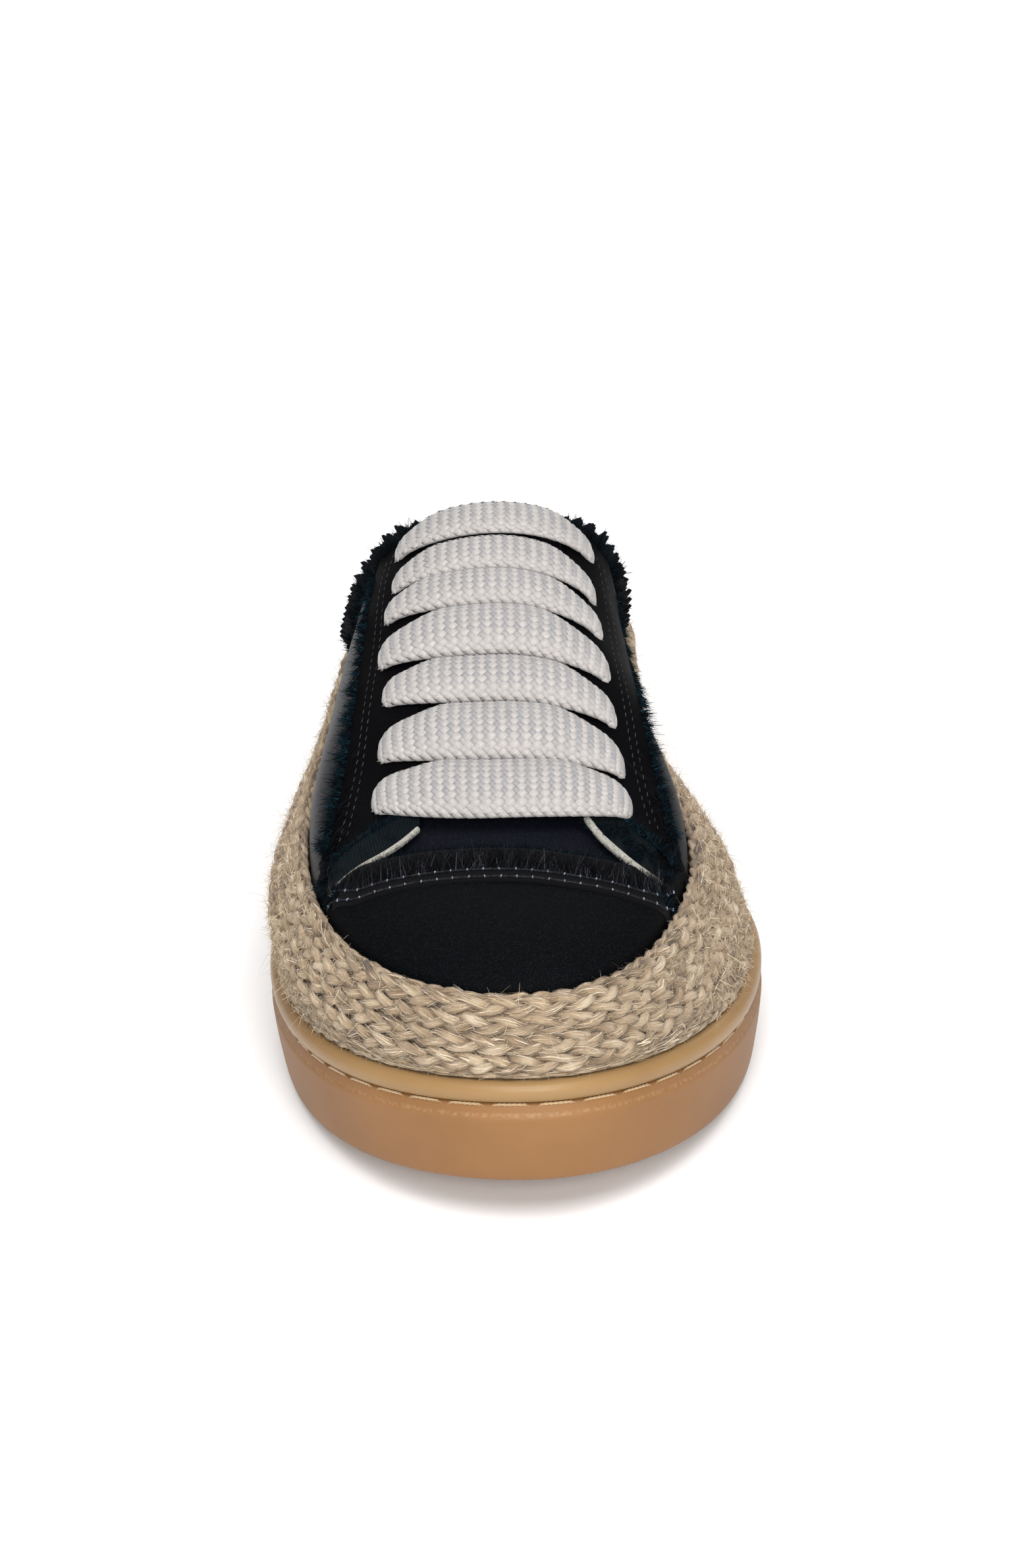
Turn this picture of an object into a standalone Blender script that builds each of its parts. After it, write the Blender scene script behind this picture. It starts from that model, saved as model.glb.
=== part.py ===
"""A backless lace-front espadrille sneaker for the right foot.

A gum rubber cup sole holds a braided jute midsole, whose rows climb onto a black satin
upper with raw frayed edges. A flat braided lace closes the throat in straight bars.

Frame: millimetres in the tables, metres in the meshes. Z is up and the tread rests on
z = 0. The toe points to -Y, the medial side (big toe) is +X. Along the shoe, positions
are stations: the distance back from the toe tip of the sole.
"""

import math

import bmesh
import bpy
from mathutils import Vector
from mathutils.geometry import tessellate_polygon

MM = 0.001
GAP = 0.3                      # clearance between pieces that touch, mm

# ---------------------------------------------------------------- driving dimensions, mm
LENGTH = 272.0                 # toe tip to heel tip, over the gum sole
TOE_X = 2.7                    # the toe tip lies this far to the medial side
HEEL_RUN = 48.0                # length of the rounded heel in plan
HEEL_POWER = 2.1
TOE_SPRING = 9.6               # lift of the toe tip
SPRING_END = 83.0              # station where the lift starts
HEEL_LIFT = 1.5                # bevel at the back of the tread
HEEL_LIFT_RUN = 12.0
ARCH_LIFT = 1.2                # hollow under the waist
ARCH_START, ARCH_END = 112.0, 190.0

# Half outline of the sole: toe_run is the length of the rounded toe, toe_power its fullness
LATERAL = dict(
    side=-1, toe_run=87.6, toe_power=2.04, ball=50.7, waist_at=169.0, waist=46.3, heel=38.9,
)
MEDIAL = dict(
    side=1, toe_run=78.9, toe_power=1.90, ball=49.3, waist_at=165.0, waist=31.2, heel=32.6,
)

LEDGE_Z = 15.8                 # top of the cup wall, where the sole is stitched
BAND_TOP_Z = 20.0              # top of the gum foxing band
CUP_WALL = 6.0                 # thickness of the cup's side wall
CUP_FLOOR_Z = 6.0              # inside of the cup, above the tread

GROOVE, GROOVE_DEPTH = 2.4, 1.5    # cross grooves of the tread
TREAD_MARGIN = 8.0             # plain border of the tread
FORE_GROOVES = (38.0, 7.5, 9)  # first station, spacing, count
HEEL_GROOVES = (192.0, 7.5, 8)
HEEL_PAD = 26.0                # plain pad in the middle of the heel, width

JUTE_FOOT_INSET = 2.9          # lower edge of the braid, from the sole's outline
JUTE_KNEE_Z, JUTE_KNEE_INSET = 25.2, 4.3
JUTE_RIM_Z = 35.8
JUTE_RISE = 0.080              # climb of the braid towards the heel, mm per mm
RISE_END, RISE_EASE = 130.0, 60.0
TOE_DIP, TOE_DIP_RUN = 2.2, 60.0
RIM_INSET = ((0.0, 8.7), (60.0, 11.2), (100.0, 11.2), (150.0, 9.5), (LENGTH, 9.0))
LEAN = 2.2                     # the upper sits this far to the lateral side of the sole
LEAN_RUN, LEAN_FADE, LEAN_END = 40.0, 85.0, 165.0
ARCH_FILL = (                  # station, shift of the medial rim against the sole's outline
    (60.0, 0.0), (85.0, -1.5), (110.0, -2.3), (130.0, -0.4), (150.0, 3.4), (170.0, 2.6),
    (190.0, 1.4), (220.0, 0.0),
)
ROW_PITCH = 3.4                # one braid row
TOP_ROWS, LOWER_ROWS = 4, 3
ROW_SWELL = 0.24               # height of a row's swell, of its width

WALL = 2.0                     # satin, interlining and lining together


def smooth(t):
    t = min(1.0, max(0.0, t))
    return t * t * (3.0 - 2.0 * t)


def spline(table, at):
    """Monotone cubic through a table of (station, value) rows."""
    if at <= table[0][0]:
        return table[0][1]
    if at >= table[-1][0]:
        return table[-1][1]
    slopes = [(b[1] - a[1]) / (b[0] - a[0]) for a, b in zip(table, table[1:])]
    ends = [slopes[0]] + [
        0.0 if p * q <= 0 else 2 * p * q / (p + q) for p, q in zip(slopes, slopes[1:])
    ] + [slopes[-1]]
    for i, (a, b) in enumerate(zip(table, table[1:])):
        if at <= b[0]:
            run = b[0] - a[0]
            t = (at - a[0]) / run
            return (
                a[1] * (1 + 2 * t) * (1 - t) ** 2
                + b[1] * t * t * (3 - 2 * t)
                + run * ends[i] * t * (1 - t) ** 2
                - run * ends[i + 1] * t * t * (1 - t)
            )


# ---------------------------------------------------------------------- forms of the sole
def arc(t, power):
    t = min(1.0, max(0.0, t))
    return (1.0 - (1.0 - t) ** power) ** (1.0 / power)


def half_width(half, s, inset=0.0):
    """Signed x of one side of the outline at station s, moved in by inset."""
    side, ball = half["side"], half["ball"]
    toe_run, waist_at = half["toe_run"], half["waist_at"]
    heel_at = LENGTH - HEEL_RUN
    if s < toe_run:
        tip = side * TOE_X
        t = (s - inset) / (toe_run - inset)
        width = tip + (ball - inset - tip) * arc(t, half["toe_power"])
    elif s < waist_at:
        width = ball + (half["waist"] - ball) * smooth((s - toe_run) / (waist_at - toe_run)) - inset
    elif s < heel_at:
        t = smooth((s - waist_at) / (heel_at - waist_at))
        width = half["waist"] + (half["heel"] - half["waist"]) * t - inset
    else:
        width = (half["heel"] - inset) * arc((LENGTH - inset - s) / (HEEL_RUN - inset), HEEL_POWER)
    return side * width


def toe_lift(s):
    """Toe spring, shared by everything in the shoe."""
    return TOE_SPRING * max(0.0, 1.0 - s / SPRING_END) ** 2


def tread_z(s):
    """The walking surface: toe spring, hollow waist and bevelled heel."""
    z = toe_lift(s)
    if ARCH_START < s < ARCH_END:
        z += ARCH_LIFT * math.sin(math.pi * (s - ARCH_START) / (ARCH_END - ARCH_START)) ** 2
    heel = s - (LENGTH - HEEL_LIFT_RUN)
    if heel > 0:
        z += HEEL_LIFT * (heel / HEEL_LIFT_RUN) ** 2
    return z


def climb(s):
    """How far the braid has risen at station s."""
    if s <= RISE_END:
        return JUTE_RISE * s
    t = min(1.0, (s - RISE_END) / RISE_EASE)
    return JUTE_RISE * (RISE_END + RISE_EASE * (t - t * t / 2.0))


def rim_z(s):
    """Top edge of the braid."""
    dip = TOE_DIP * max(0.0, 1.0 - s / TOE_DIP_RUN)
    return JUTE_RIM_Z - dip + climb(s) + toe_lift(s)


def knee_z(s):
    """Where the braid turns from the wall over towards the upper."""
    return JUTE_KNEE_Z + climb(s) + toe_lift(s)


# --------------------------------------------------------------------------- mesh helpers
def place(x, s, z):
    return Vector((x * MM, (s - LENGTH / 2.0) * MM, z * MM))


def lean(s, upright=1.0, rim=1.0):
    """Shift of the upper's edge, lateral and medial, scaled in its lean and its arch fill."""
    fade = 1.0 - smooth((s - LEAN_FADE) / (LEAN_END - LEAN_FADE))
    both = -LEAN * min(1.0, s / LEAN_RUN) * fade * upright
    return both, both + spline(ARCH_FILL, s) * rim


def rim_inset(s):
    """Inner edge of the braid, where the upper stands, from the sole's outline."""
    return spline(RIM_INSET, s)


TOE_STEPS, MID_STEPS, HEEL_STEPS = 10, 8, 7


def fractions():
    """Fractions of the length where the sole is sectioned, closer at toe and heel."""
    toe = MEDIAL["toe_run"] / LENGTH
    heel = HEEL_RUN / LENGTH
    out = [toe * (1 - math.cos(math.pi / 2 * i / TOE_STEPS)) for i in range(TOE_STEPS)]
    out += [toe + (1 - heel - toe) * i / MID_STEPS for i in range(MID_STEPS)]
    out += [1 - heel + heel * math.sin(math.pi / 2 * i / HEEL_STEPS) for i in range(HEEL_STEPS + 1)]
    return out


def station(fraction, inset):
    """The station of a fraction of the length, on the outline moved in by inset(station)."""
    s = LENGTH * fraction
    for _ in range(4):
        s = inset(s) + (LENGTH - 2 * inset(s)) * fraction
    return s


def ring(inset, height, shift=lambda s: (0.0, 0.0)):
    """One closed loop round the sole. inset, height and shift are functions of the station."""
    stations = [station(f, inset) for f in fractions()]
    lateral, medial = (
        [place(half_width(half, s, inset(s)) + shift(s)[i], s, height(s)) for s in stations]
        for i, half in enumerate((LATERAL, MEDIAL))
    )
    return lateral + medial[-2:0:-1]


def level(inset, height, base=toe_lift):
    """A loop at a fixed inset and a fixed height above a base surface."""
    return ring(lambda s: inset, lambda s: base(s) + height)


def bridge(faces, first, second, count):
    for i in range(count):
        j = (i + 1) % count
        faces.append((first + i, second + i, second + j, first + j))


def ladder(faces, first, count, flip):
    """Closes a loop made by ring() with rungs from side to side."""
    half = count // 2
    for i in range(half):
        near, far = (first + (count - i) % count), first + (count - i - 1)
        face = [first + i, near, far, first + i + 1]
        face = list(dict.fromkeys(face))
        faces.append(face[::-1] if flip else face)


def skin(rings, closed):
    """Joins rings, outside first and upwards. closed makes a tube, else both ends are capped."""
    count = len(rings[0])
    verts = [v for loop in rings for v in loop]
    faces = []
    for i in range(len(rings) - 1):
        bridge(faces, i * count, (i + 1) * count, count)
    if closed:
        bridge(faces, (len(rings) - 1) * count, 0, count)
    else:
        ladder(faces, 0, count, True)
        ladder(faces, (len(rings) - 1) * count, count, False)
    return verts, faces


def material(name, colour, roughness, metallic=0.0):
    made = bpy.data.materials.new(name)
    made.use_nodes = True
    shader = made.node_tree.nodes["Principled BSDF"]
    shader.inputs["Base Color"].default_value = (*colour, 1.0)
    shader.inputs["Roughness"].default_value = roughness
    shader.inputs["Metallic"].default_value = metallic
    return made


def dress(made, look):
    """Gives an object its one material and smooth shading with sharp corners."""
    made.data.materials.clear()
    made.data.materials.append(look)
    made.data.shade_smooth()
    made.data.set_sharp_from_angle(angle=math.radians(40))


def add(name, verts, faces, look=None):
    mesh = bpy.data.meshes.new(name)
    mesh.from_pydata(verts, [], faces)
    mesh.validate()
    mesh.update()
    made = bpy.data.objects.new(name, mesh)
    bpy.context.scene.collection.objects.link(made)
    if look:
        dress(made, look)
    return made


# ------------------------------------------------------------------------- the last
INSTEP = (  # station, height of the upper's ridge
    (9.3, 42.2), (14.0, 45.6), (22.0, 48.4), (30.0, 49.9), (39.0, 51.0), (50.0, 52.6),
    (60.0, 55.0), (70.0, 59.5), (80.0, 64.6), (100.0, 75.0), (118.0, 84.0), (133.0, 91.0),
    (150.0, 97.0), (192.0, 104.0),
)
RIDGE = ((9.0, 2.0), (40.0, -1.0), (70.0, -2.5), (192.0, -2.5))   # station, x of the ridge
FULLNESS = (  # station, power of the section on the lateral and the medial side
    (9.0, 0.80, 0.80), (80.0, 0.85, 0.80), (110.0, 1.0, 0.78), (150.0, 1.15, 0.75),
)                              # 1 is an ellipse, below 1 has a fuller shoulder

UPPER_END = 186.0              # station where the quarters have sunk into the braid
UPPER_PITCH = 7.5              # spacing of the upper's sections

FLOOR = ((0.0, 21.5), (85.0, 23.0), (190.0, 39.5), (LENGTH, 41.0))  # station, footbed support
INSOLE_T = 4.0

COLLAR = (  # side view of the quarter's cut edge, station and height, from the throat down
    (136.5, 95.0), (140.5, 88.5), (145.0, 81.0), (149.5, 72.5), (154.5, 65.5), (161.0, 58.5),
    (170.0, 52.5), (181.0, 47.5), (190.0, 45.0),
)
SEAM = (  # x, station of the toe cap's seam
    (-34.0, 45.5), (-28.0, 40.6), (-15.0, 39.9), (0.0, 38.9), (14.0, 36.9), (22.0, 36.4),
    (27.0, 38.2), (30.0, 43.5),
)
THROAT_X = -2.5                # middle of the throat
THROAT_HALF = 14.5
FLAP_LATERAL = (  # x and station of the quarter's front edge, from the throat to the braid
    (-17.0, 66.0), (-18.3, 63.0), (-20.8, 60.9), (-23.6, 58.9), (-27.3, 55.8), (-31.0, 51.4),
    (-34.4, 49.6),
)
FLAP_MEDIAL = (
    (12.0, 66.0), (12.8, 63.0), (14.8, 60.4), (18.0, 56.7), (21.5, 52.2), (25.2, 48.6),
    (30.0, 47.4),
)
STAY = (  # station, half width of the facing over the throat, to its frayed edge
    (58.0, 34.6), (66.0, 33.2), (80.0, 31.4), (100.0, 29.6), (125.0, 28.0), (140.0, 26.2),
    (152.0, 23.0),
)
STAY_T = 0.8                   # facing and toe strip stand this far off the satin
TONGUE = (  # station, half width of the tongue
    (34.0, 28.0), (45.0, 31.5), (56.0, 31.0), (66.0, 24.0), (130.0, 21.5), (137.0, 17.0),
)
TONGUE_T = 2.0
TONGUE_LOW = 38.0              # the tongue's sides end here, inside the quarters
TOOTH = 3.5                    # width of one frayed lock
TOE_FRAY, STAY_FRAY, COLLAR_FRAY = 5.0, 2.2, 4.5    # length of the locks

LACE_T = 2.4
LACE_HALF = 7.4                # half width of a lace bar
LACE_TAPER = 0.32              # narrowing towards the ends
BAR_SECTION = (  # shares of the half width and of the thickness, round one bar
    (-1.0, 0.5), (-0.8, 0.0), (0.8, 0.0), (1.0, 0.5), (0.7, 0.92), (0.0, 1.0), (-0.7, 0.92),
)
BARS = (  # lateral x and station, station in the middle, medial x and station
    (-25.0, 67.5, 64.8, 21.4, 63.5), (-23.9, 80.2, 77.2, 20.4, 74.5),
    (-23.4, 94.2, 89.6, 19.3, 87.6), (-24.3, 105.8, 101.4, 18.5, 99.2),
    (-23.2, 118.1, 112.4, 17.1, 112.2), (-21.8, 127.2, 122.2, 16.3, 123.7),
    (-21.4, 136.0, 131.2, 16.3, 135.0),
)


def floor_z(s):
    return spline(FLOOR, s) + toe_lift(s)


def upper_edges(s, shrink):
    inset = rim_inset(s) + 2 * GAP + shrink
    return tuple(
        half_width(half, s, inset) + shift for half, shift in zip((LATERAL, MEDIAL), lean(s))
    )


def section_power(s, medial):
    return spline([(row[0], row[2 if medial else 1]) for row in FULLNESS], s)


def upper_z(s, x, shrink=0.0):
    """Height of the upper over a point in plan, for points inside its lower edge."""
    ridge = spline(RIDGE, s)
    left, right = upper_edges(s, shrink)
    medial = x > ridge
    c = min(1.0, (x - ridge) / ((right if medial else left) - ridge))
    base = rim_z(s)
    rise = spline(INSTEP, s) - shrink - base
    return base + rise * (1 - c * c) ** (section_power(s, medial) / 2)


def upper_point(s, x, lift=0.0):
    """A point standing off the outer face of the upper, square to it."""
    step = 0.5
    across = Vector((2 * step, 0, upper_z(s, x + step) - upper_z(s, x - step)))
    along = Vector((0, 2 * step, upper_z(s + step, x) - upper_z(s - step, x)))
    out = Vector((x, s, upper_z(s, x))) + across.cross(along).normalized() * lift
    return place(out.x, out.y, out.z)


def upper_section(s, shrink, low, steps=12):
    """Closed loop across the upper at one station, from the lateral foot over the ridge."""
    ridge = spline(RIDGE, s)
    left, right = upper_edges(s, shrink)
    base = rim_z(s)
    rise = spline(INSTEP, s) - shrink - base
    loop = [place(left, s, low(s))]
    for i in range(steps + 1):
        turn = math.pi * i / steps
        medial = math.cos(turn) < 0
        reach = (right if medial else left) - ridge
        height = base + rise * abs(math.sin(turn)) ** section_power(s, medial)
        loop.append(place(ridge + abs(math.cos(turn)) * reach, s, height))
    loop.append(place(right, s, low(s)))
    return loop


def upper_form(name, shrink=0.0, drop=0.0, reach=0.0):
    """The solid under the upper's face, moved in by shrink, down by drop, back by reach."""
    first = rim_inset(0.0) + 2 * GAP + shrink
    stations = [first + 0.5, first + 2.2, first + 4.8]
    count = math.ceil((UPPER_END + reach - first - 8.5) / UPPER_PITCH)
    stations += [first + 8.5 + (UPPER_END + reach - first - 8.5) * i / count for i in range(count + 1)]
    sections = [upper_section(s, shrink, lambda q: floor_z(q) + GAP - drop) for s in stations]
    count = len(sections[0])
    faces = [tuple(range(count))[::-1]]
    for i in range(len(sections) - 1):
        bridge(faces, (i + 1) * count, i * count, count)
    last = (len(sections) - 1) * count
    faces.append(tuple(range(last, last + count)))
    return add(name, [v for loop in sections for v in loop], faces)


# ------------------------------------------------------------------------------- cutters
def face_outwards(made):
    mesh = bmesh.new()
    mesh.from_mesh(made.data)
    bmesh.ops.recalc_face_normals(mesh, faces=mesh.faces)
    mesh.to_mesh(made.data)
    mesh.free()


def prism(name, outline, axis, low, high):
    """A straight prism. outline holds (x, station) pairs for axis z, (station, z) for axis x."""
    if axis == "z":
        ends = [[place(x, s, level) for x, s in outline] for level in (low, high)]
    else:
        ends = [[place(level, s, z) for s, z in outline] for level in (low, high)]
    count = len(outline)
    faces = [(i, (i + 1) % count, count + (i + 1) % count, count + i) for i in range(count)]
    for a, b, c in tessellate_polygon([[Vector((u, v, 0.0)) for u, v in outline]]):
        faces += [(a, b, c), (count + a, count + b, count + c)]
    made = add(name, ends[0] + ends[1], faces)
    face_outwards(made)
    return made


def combine(target, tool, operation):
    """Runs one exact Boolean and removes the tool."""
    step = target.modifiers.new(operation, "BOOLEAN")
    step.operation, step.solver, step.object = operation, "EXACT", tool
    made = bpy.data.meshes.new_from_object(
        target.evaluated_get(bpy.context.evaluated_depsgraph_get())
    )
    target.modifiers.clear()
    target.data = made
    bpy.data.objects.remove(tool, do_unlink=True)


def frayed(line, depth):
    """A line of points broken into locks that stand out on its left."""
    out, run, index = [], 0.0, 0
    for a, b in zip(line, line[1:]):
        a, b = Vector(a), Vector(b)
        length = (b - a).length
        ahead = (b - a).normalized()
        aside = Vector((-ahead.y, ahead.x))
        while run < length:
            root = a + ahead * run
            tip = root + ahead * 0.5 * TOOTH
            reach = depth * (0.8 + 0.2 * math.sin(2.4 * index))
            out += [root, tip - ahead * 0.5 + aside * reach, tip + ahead * 0.5 + aside * reach]
            run += TOOTH
            index += 1
        run -= length
    return out


def sampled(table, start, end, count):
    """Points (at, value) on a table's spline, from start to end."""
    steps = [start + (end - start) * i / count for i in range(count + 1)]
    return [(at, spline(table, at)) for at in steps]


def collar_prism(ahead, fray):
    """Everything behind the collar's edge, the edge moved forward by ahead."""
    line = [(s - ahead, z) for s, z in COLLAR]
    if fray:
        line = line[:1] + frayed(line[1:], fray)
    behind = [(230.0, line[-1][1]), (230.0, 130.0), (130.0, 130.0)]
    return prism("collar_tool", line + behind, "x", -90.0, 90.0)


def throat_outline():
    front = [(x, s + 1.5) for x, s in sampled(SEAM, -33.0, 29.5, 12)]
    right, left = THROAT_X + THROAT_HALF, THROAT_X - THROAT_HALF
    return front + list(FLAP_MEDIAL[::-1]) + [(right, 200.0), (left, 200.0)] + list(FLAP_LATERAL)


def groove(verts, faces, s, left, right):
    """Adds one cross groove between two x positions, as a box that dips below the tread."""
    top = tread_z(s) + GROOVE_DEPTH
    first = len(verts)
    for z in (-3.0, top):
        for x, q in ((left, -0.5), (right, -0.5), (right, 0.5), (left, 0.5)):
            verts.append(place(x, s + q * GROOVE, z))
    faces.append([first, first + 3, first + 2, first + 1])
    faces.append([first + 4, first + 5, first + 6, first + 7])
    for i in range(4):
        j = (i + 1) % 4
        faces.append([first + i, first + j, first + 4 + j, first + 4 + i])


def tread_tool():
    """All the grooves between the tread's bars. In the heel they leave a plain pad."""
    verts, faces = [], []
    for start, pitch, count in (FORE_GROOVES, HEEL_GROOVES):
        for i in range(count):
            s = start + pitch * i
            left, right = (half_width(half, s, TREAD_MARGIN) for half in (LATERAL, MEDIAL))
            if start == HEEL_GROOVES[0]:
                groove(verts, faces, s, left, -HEEL_PAD / 2)
                groove(verts, faces, s, HEEL_PAD / 2, right)
            else:
                groove(verts, faces, s, left, right)
    return add("tread_tool", verts, faces)


# --------------------------------------------------------------------------------- pieces
def make_outsole(look):
    rings = [
        level(4.5, 0.0, tread_z), level(2.4, 0.0, tread_z), level(1.6, 0.5, tread_z),
        level(1.3, 1.5), level(0.6, 7.0), level(0.0, LEDGE_Z - 3.2), level(0.0, LEDGE_Z - 2.4),
        level(0.7, LEDGE_Z - 1.9), level(1.2, LEDGE_Z - 0.4), level(2.0, LEDGE_Z),
        level(CUP_WALL, LEDGE_Z),
        level(CUP_WALL, CUP_FLOOR_Z),
    ]
    made = add("outsole", *skin(rings, False))
    combine(made, tread_tool(), "DIFFERENCE")
    dress(made, look)


def make_band(look):
    rings = [
        level(2.0, LEDGE_Z + GAP), level(0.8, LEDGE_Z + 0.6), level(0.15, LEDGE_Z + 1.3),
        level(0.0, LEDGE_Z + 2.1), level(0.3, LEDGE_Z + 3.0), level(1.2, LEDGE_Z + 3.8),
        level(2.4, BAND_TOP_Z), level(CUP_WALL, BAND_TOP_Z), level(CUP_WALL, LEDGE_Z + GAP),
    ]
    return add("foxing_band", *skin(rings, True), look)


def braid_path(s):
    """Outer face of the braid at a station, as (inset, height) corners from the rim down."""
    return (
        Vector((rim_inset(s) - 1.1, rim_z(s))),
        Vector((JUTE_KNEE_INSET, knee_z(s))),
        Vector((JUTE_FOOT_INSET, BAND_TOP_Z + GAP + toe_lift(s))),
    )


def braid_point(s, row, share):
    """Point on the face of one row. share runs 0 to 1 across it and swells in between."""
    rim, knee, foot = braid_path(s)
    slope, wall = (knee - rim).length, (foot - knee).length
    top = TOP_ROWS * ROW_PITCH
    lower = (slope + wall - top) / LOWER_ROWS
    if row < TOP_ROWS:
        distance, width = (row + share) * ROW_PITCH, ROW_PITCH
    else:
        distance, width = top + (row - TOP_ROWS + share) * lower, lower
    if distance < slope:
        at, along = rim.lerp(knee, distance / slope), (knee - rim).normalized()
    else:
        at, along = knee.lerp(foot, min(1.0, (distance - slope) / wall)), (foot - knee).normalized()
    out = Vector((along.y, -along.x))
    swell = ROW_SWELL * width * math.sin(math.pi * share)
    return at + out * swell


def braid_shift(s, row, share):
    """The braid leans with the upper, except at its foot in the gum."""
    height = braid_point(s, row, share).y
    foot = BAND_TOP_Z + toe_lift(s)
    wall = min(1.0, max(0.0, (height - foot) / (knee_z(s) - foot)))
    slope = min(1.0, max(0.0, (height - knee_z(s)) / (rim_z(s) - knee_z(s))))
    return lean(s, wall, slope)


def make_jute(look):
    rings = [
        level(CUP_WALL + GAP, CUP_FLOOR_Z + GAP), level(CUP_WALL + GAP, BAND_TOP_Z + GAP),
    ]
    shares = (1.0, 0.7, 0.3)
    for row in reversed(range(TOP_ROWS + LOWER_ROWS)):
        for share in shares:
            rings.append(ring(
                lambda s, r=row, q=share: braid_point(s, r, q).x,
                lambda s, r=row, q=share: braid_point(s, r, q).y,
                lambda s, r=row, q=share: braid_shift(s, r, q),
            ))
    rings.append(ring(rim_inset, rim_z, lean))
    rings.append(ring(rim_inset, floor_z, lean))
    return add("jute_midsole", *skin(rings, False), look)


def insole_inset(s):
    """Against the upper's lining in front, against the braid behind it."""
    lined = 4 * GAP + WALL
    return rim_inset(s) + lined + (GAP - lined) * smooth((s - UPPER_END - 1.0) / 9.0)


def make_insole(look):
    rings = [
        ring(lambda s, i=inset: insole_inset(s) + i, lambda s, z=z: floor_z(s) + GAP + z, lean)
        for inset, z in ((0.0, 0.0), (0.0, INSOLE_T - 1.2), (1.2, INSOLE_T))
    ]
    return add("insole", *skin(rings, False), look)


def make_upper(look):
    made = upper_form("upper")
    combine(made, collar_prism(0.0, COLLAR_FRAY), "DIFFERENCE")
    combine(made, upper_form("inner_tool", WALL, drop=3.0, reach=12.0), "DIFFERENCE")
    combine(made, prism("throat_tool", throat_outline(), "z", 20.0, 140.0), "DIFFERENCE")
    dress(made, look)


def make_tongue(look):
    half = sampled(TONGUE, 34.0, 137.0, 14)
    outline = [(THROAT_X + w, s) for s, w in half] + [(THROAT_X - w, s) for s, w in half[::-1]]
    made = upper_form("tongue", WALL + GAP)
    combine(made, prism("tongue_tool", outline, "z", TONGUE_LOW, 140.0), "INTERSECT")
    inner = upper_form("inner_tool", WALL + GAP + TONGUE_T, drop=3.0, reach=12.0)
    combine(made, inner, "DIFFERENCE")
    dress(made, look)


def make_overlay(name, outline, look, collar=False):
    """A strip cut between two forms that lie just outside the upper."""
    made = upper_form(name, -GAP - STAY_T)
    if collar:
        combine(made, collar_prism(1.0, 0.0), "DIFFERENCE")
    combine(made, prism("outline_tool", outline, "z", 20.0, 140.0), "INTERSECT")
    combine(made, upper_form("under_tool", -GAP, drop=3.0, reach=12.0), "DIFFERENCE")
    dress(made, look)


def stay_outline(flap, side):
    """Plan of one facing: the flap's front edge, the frayed edge, the throat."""
    front = [(x, s + 0.8) for x, s in flap[1:-1]]
    edge = [
        (THROAT_X + side * (w - STAY_FRAY), s) for s, w in sampled(STAY, 60.0, 152.0, 8)
    ]
    edge = frayed(edge, -side * STAY_FRAY)
    inner = THROAT_X + side * (THROAT_HALF + 0.7)
    return front + [tuple(point) for point in edge] + [(inner, edge[-1][1]), (inner, 66.0)]


def toe_strip_outline():
    seam = sampled(SEAM, -31.5, 27.5, 14)
    front = [(x, s - 1.2) for x, s in seam]
    back = frayed([(x, s + 1.5) for x, s in seam], TOE_FRAY)
    return front + back[::-1]


def lace_bar(name, bar):
    """One bar of the lace, arched over the throat."""
    left_x, left_s, middle, right_x, right_s = bar
    steps, verts = 10, []
    low = GAP + STAY_T + 0.4
    high = low + LACE_T
    for i in range(steps + 1):
        u = 2.0 * i / steps - 1.0
        x = left_x + (right_x - left_x) * i / steps
        s = middle + ((left_s if u < 0 else right_s) - middle) * u * u
        half = LACE_HALF * (1.0 - LACE_TAPER * u ** 4)
        slope = (upper_z(s + 1, x) - upper_z(s - 1, x)) / 2
        for share, lift in BAR_SECTION:
            ahead = share * half / math.hypot(1.0, slope)
            verts.append(upper_point(s + ahead, x, low + (high - low) * lift))
    count = len(BAR_SECTION)
    faces = [tuple(range(count)), tuple(range(steps * count, (steps + 1) * count))[::-1]]
    for i in range(steps):
        bridge(faces, i * count, (i + 1) * count, count)
    return add(name, verts, faces)


def make_lace(look):
    made = lace_bar("lace", BARS[0])
    for bar in BARS[1:]:
        combine(made, lace_bar("bar_tool", bar), "UNION")
    dress(made, look)


def main():
    for old in list(bpy.data.objects):
        bpy.data.objects.remove(old, do_unlink=True)
    gum = material("gum_rubber", (0.52, 0.30, 0.13), 0.55)
    band = material("gum_band", (0.58, 0.35, 0.15), 0.4)
    jute = material("jute", (0.60, 0.46, 0.29), 0.9)
    satin = material("black_satin", (0.01, 0.01, 0.012), 0.4)
    fray = material("frayed_cotton", (0.01, 0.015, 0.022), 0.9)
    cotton = material("grey_cotton", (0.62, 0.58, 0.55), 0.8)
    lining = material("lining", (0.02, 0.02, 0.022), 0.9)
    make_outsole(gum)
    make_band(band)
    make_jute(jute)
    make_insole(lining)
    make_upper(satin)
    make_tongue(satin)
    make_overlay("eyestay_lateral", stay_outline(FLAP_LATERAL, -1), satin, collar=True)
    make_overlay("eyestay_medial", stay_outline(FLAP_MEDIAL, 1), satin, collar=True)
    make_overlay("toe_fringe", toe_strip_outline(), fray)
    make_lace(cotton)


main()
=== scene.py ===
"""Looks of the backless espadrille sneaker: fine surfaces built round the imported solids.

Tables and forms are in millimetres: x to the medial side, s the station back from the toe
tip, z up. Meshes are in metres, in the frame of the solids.
"""

import math

import bpy
import numpy as np
from mathutils import Matrix, Vector


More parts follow.
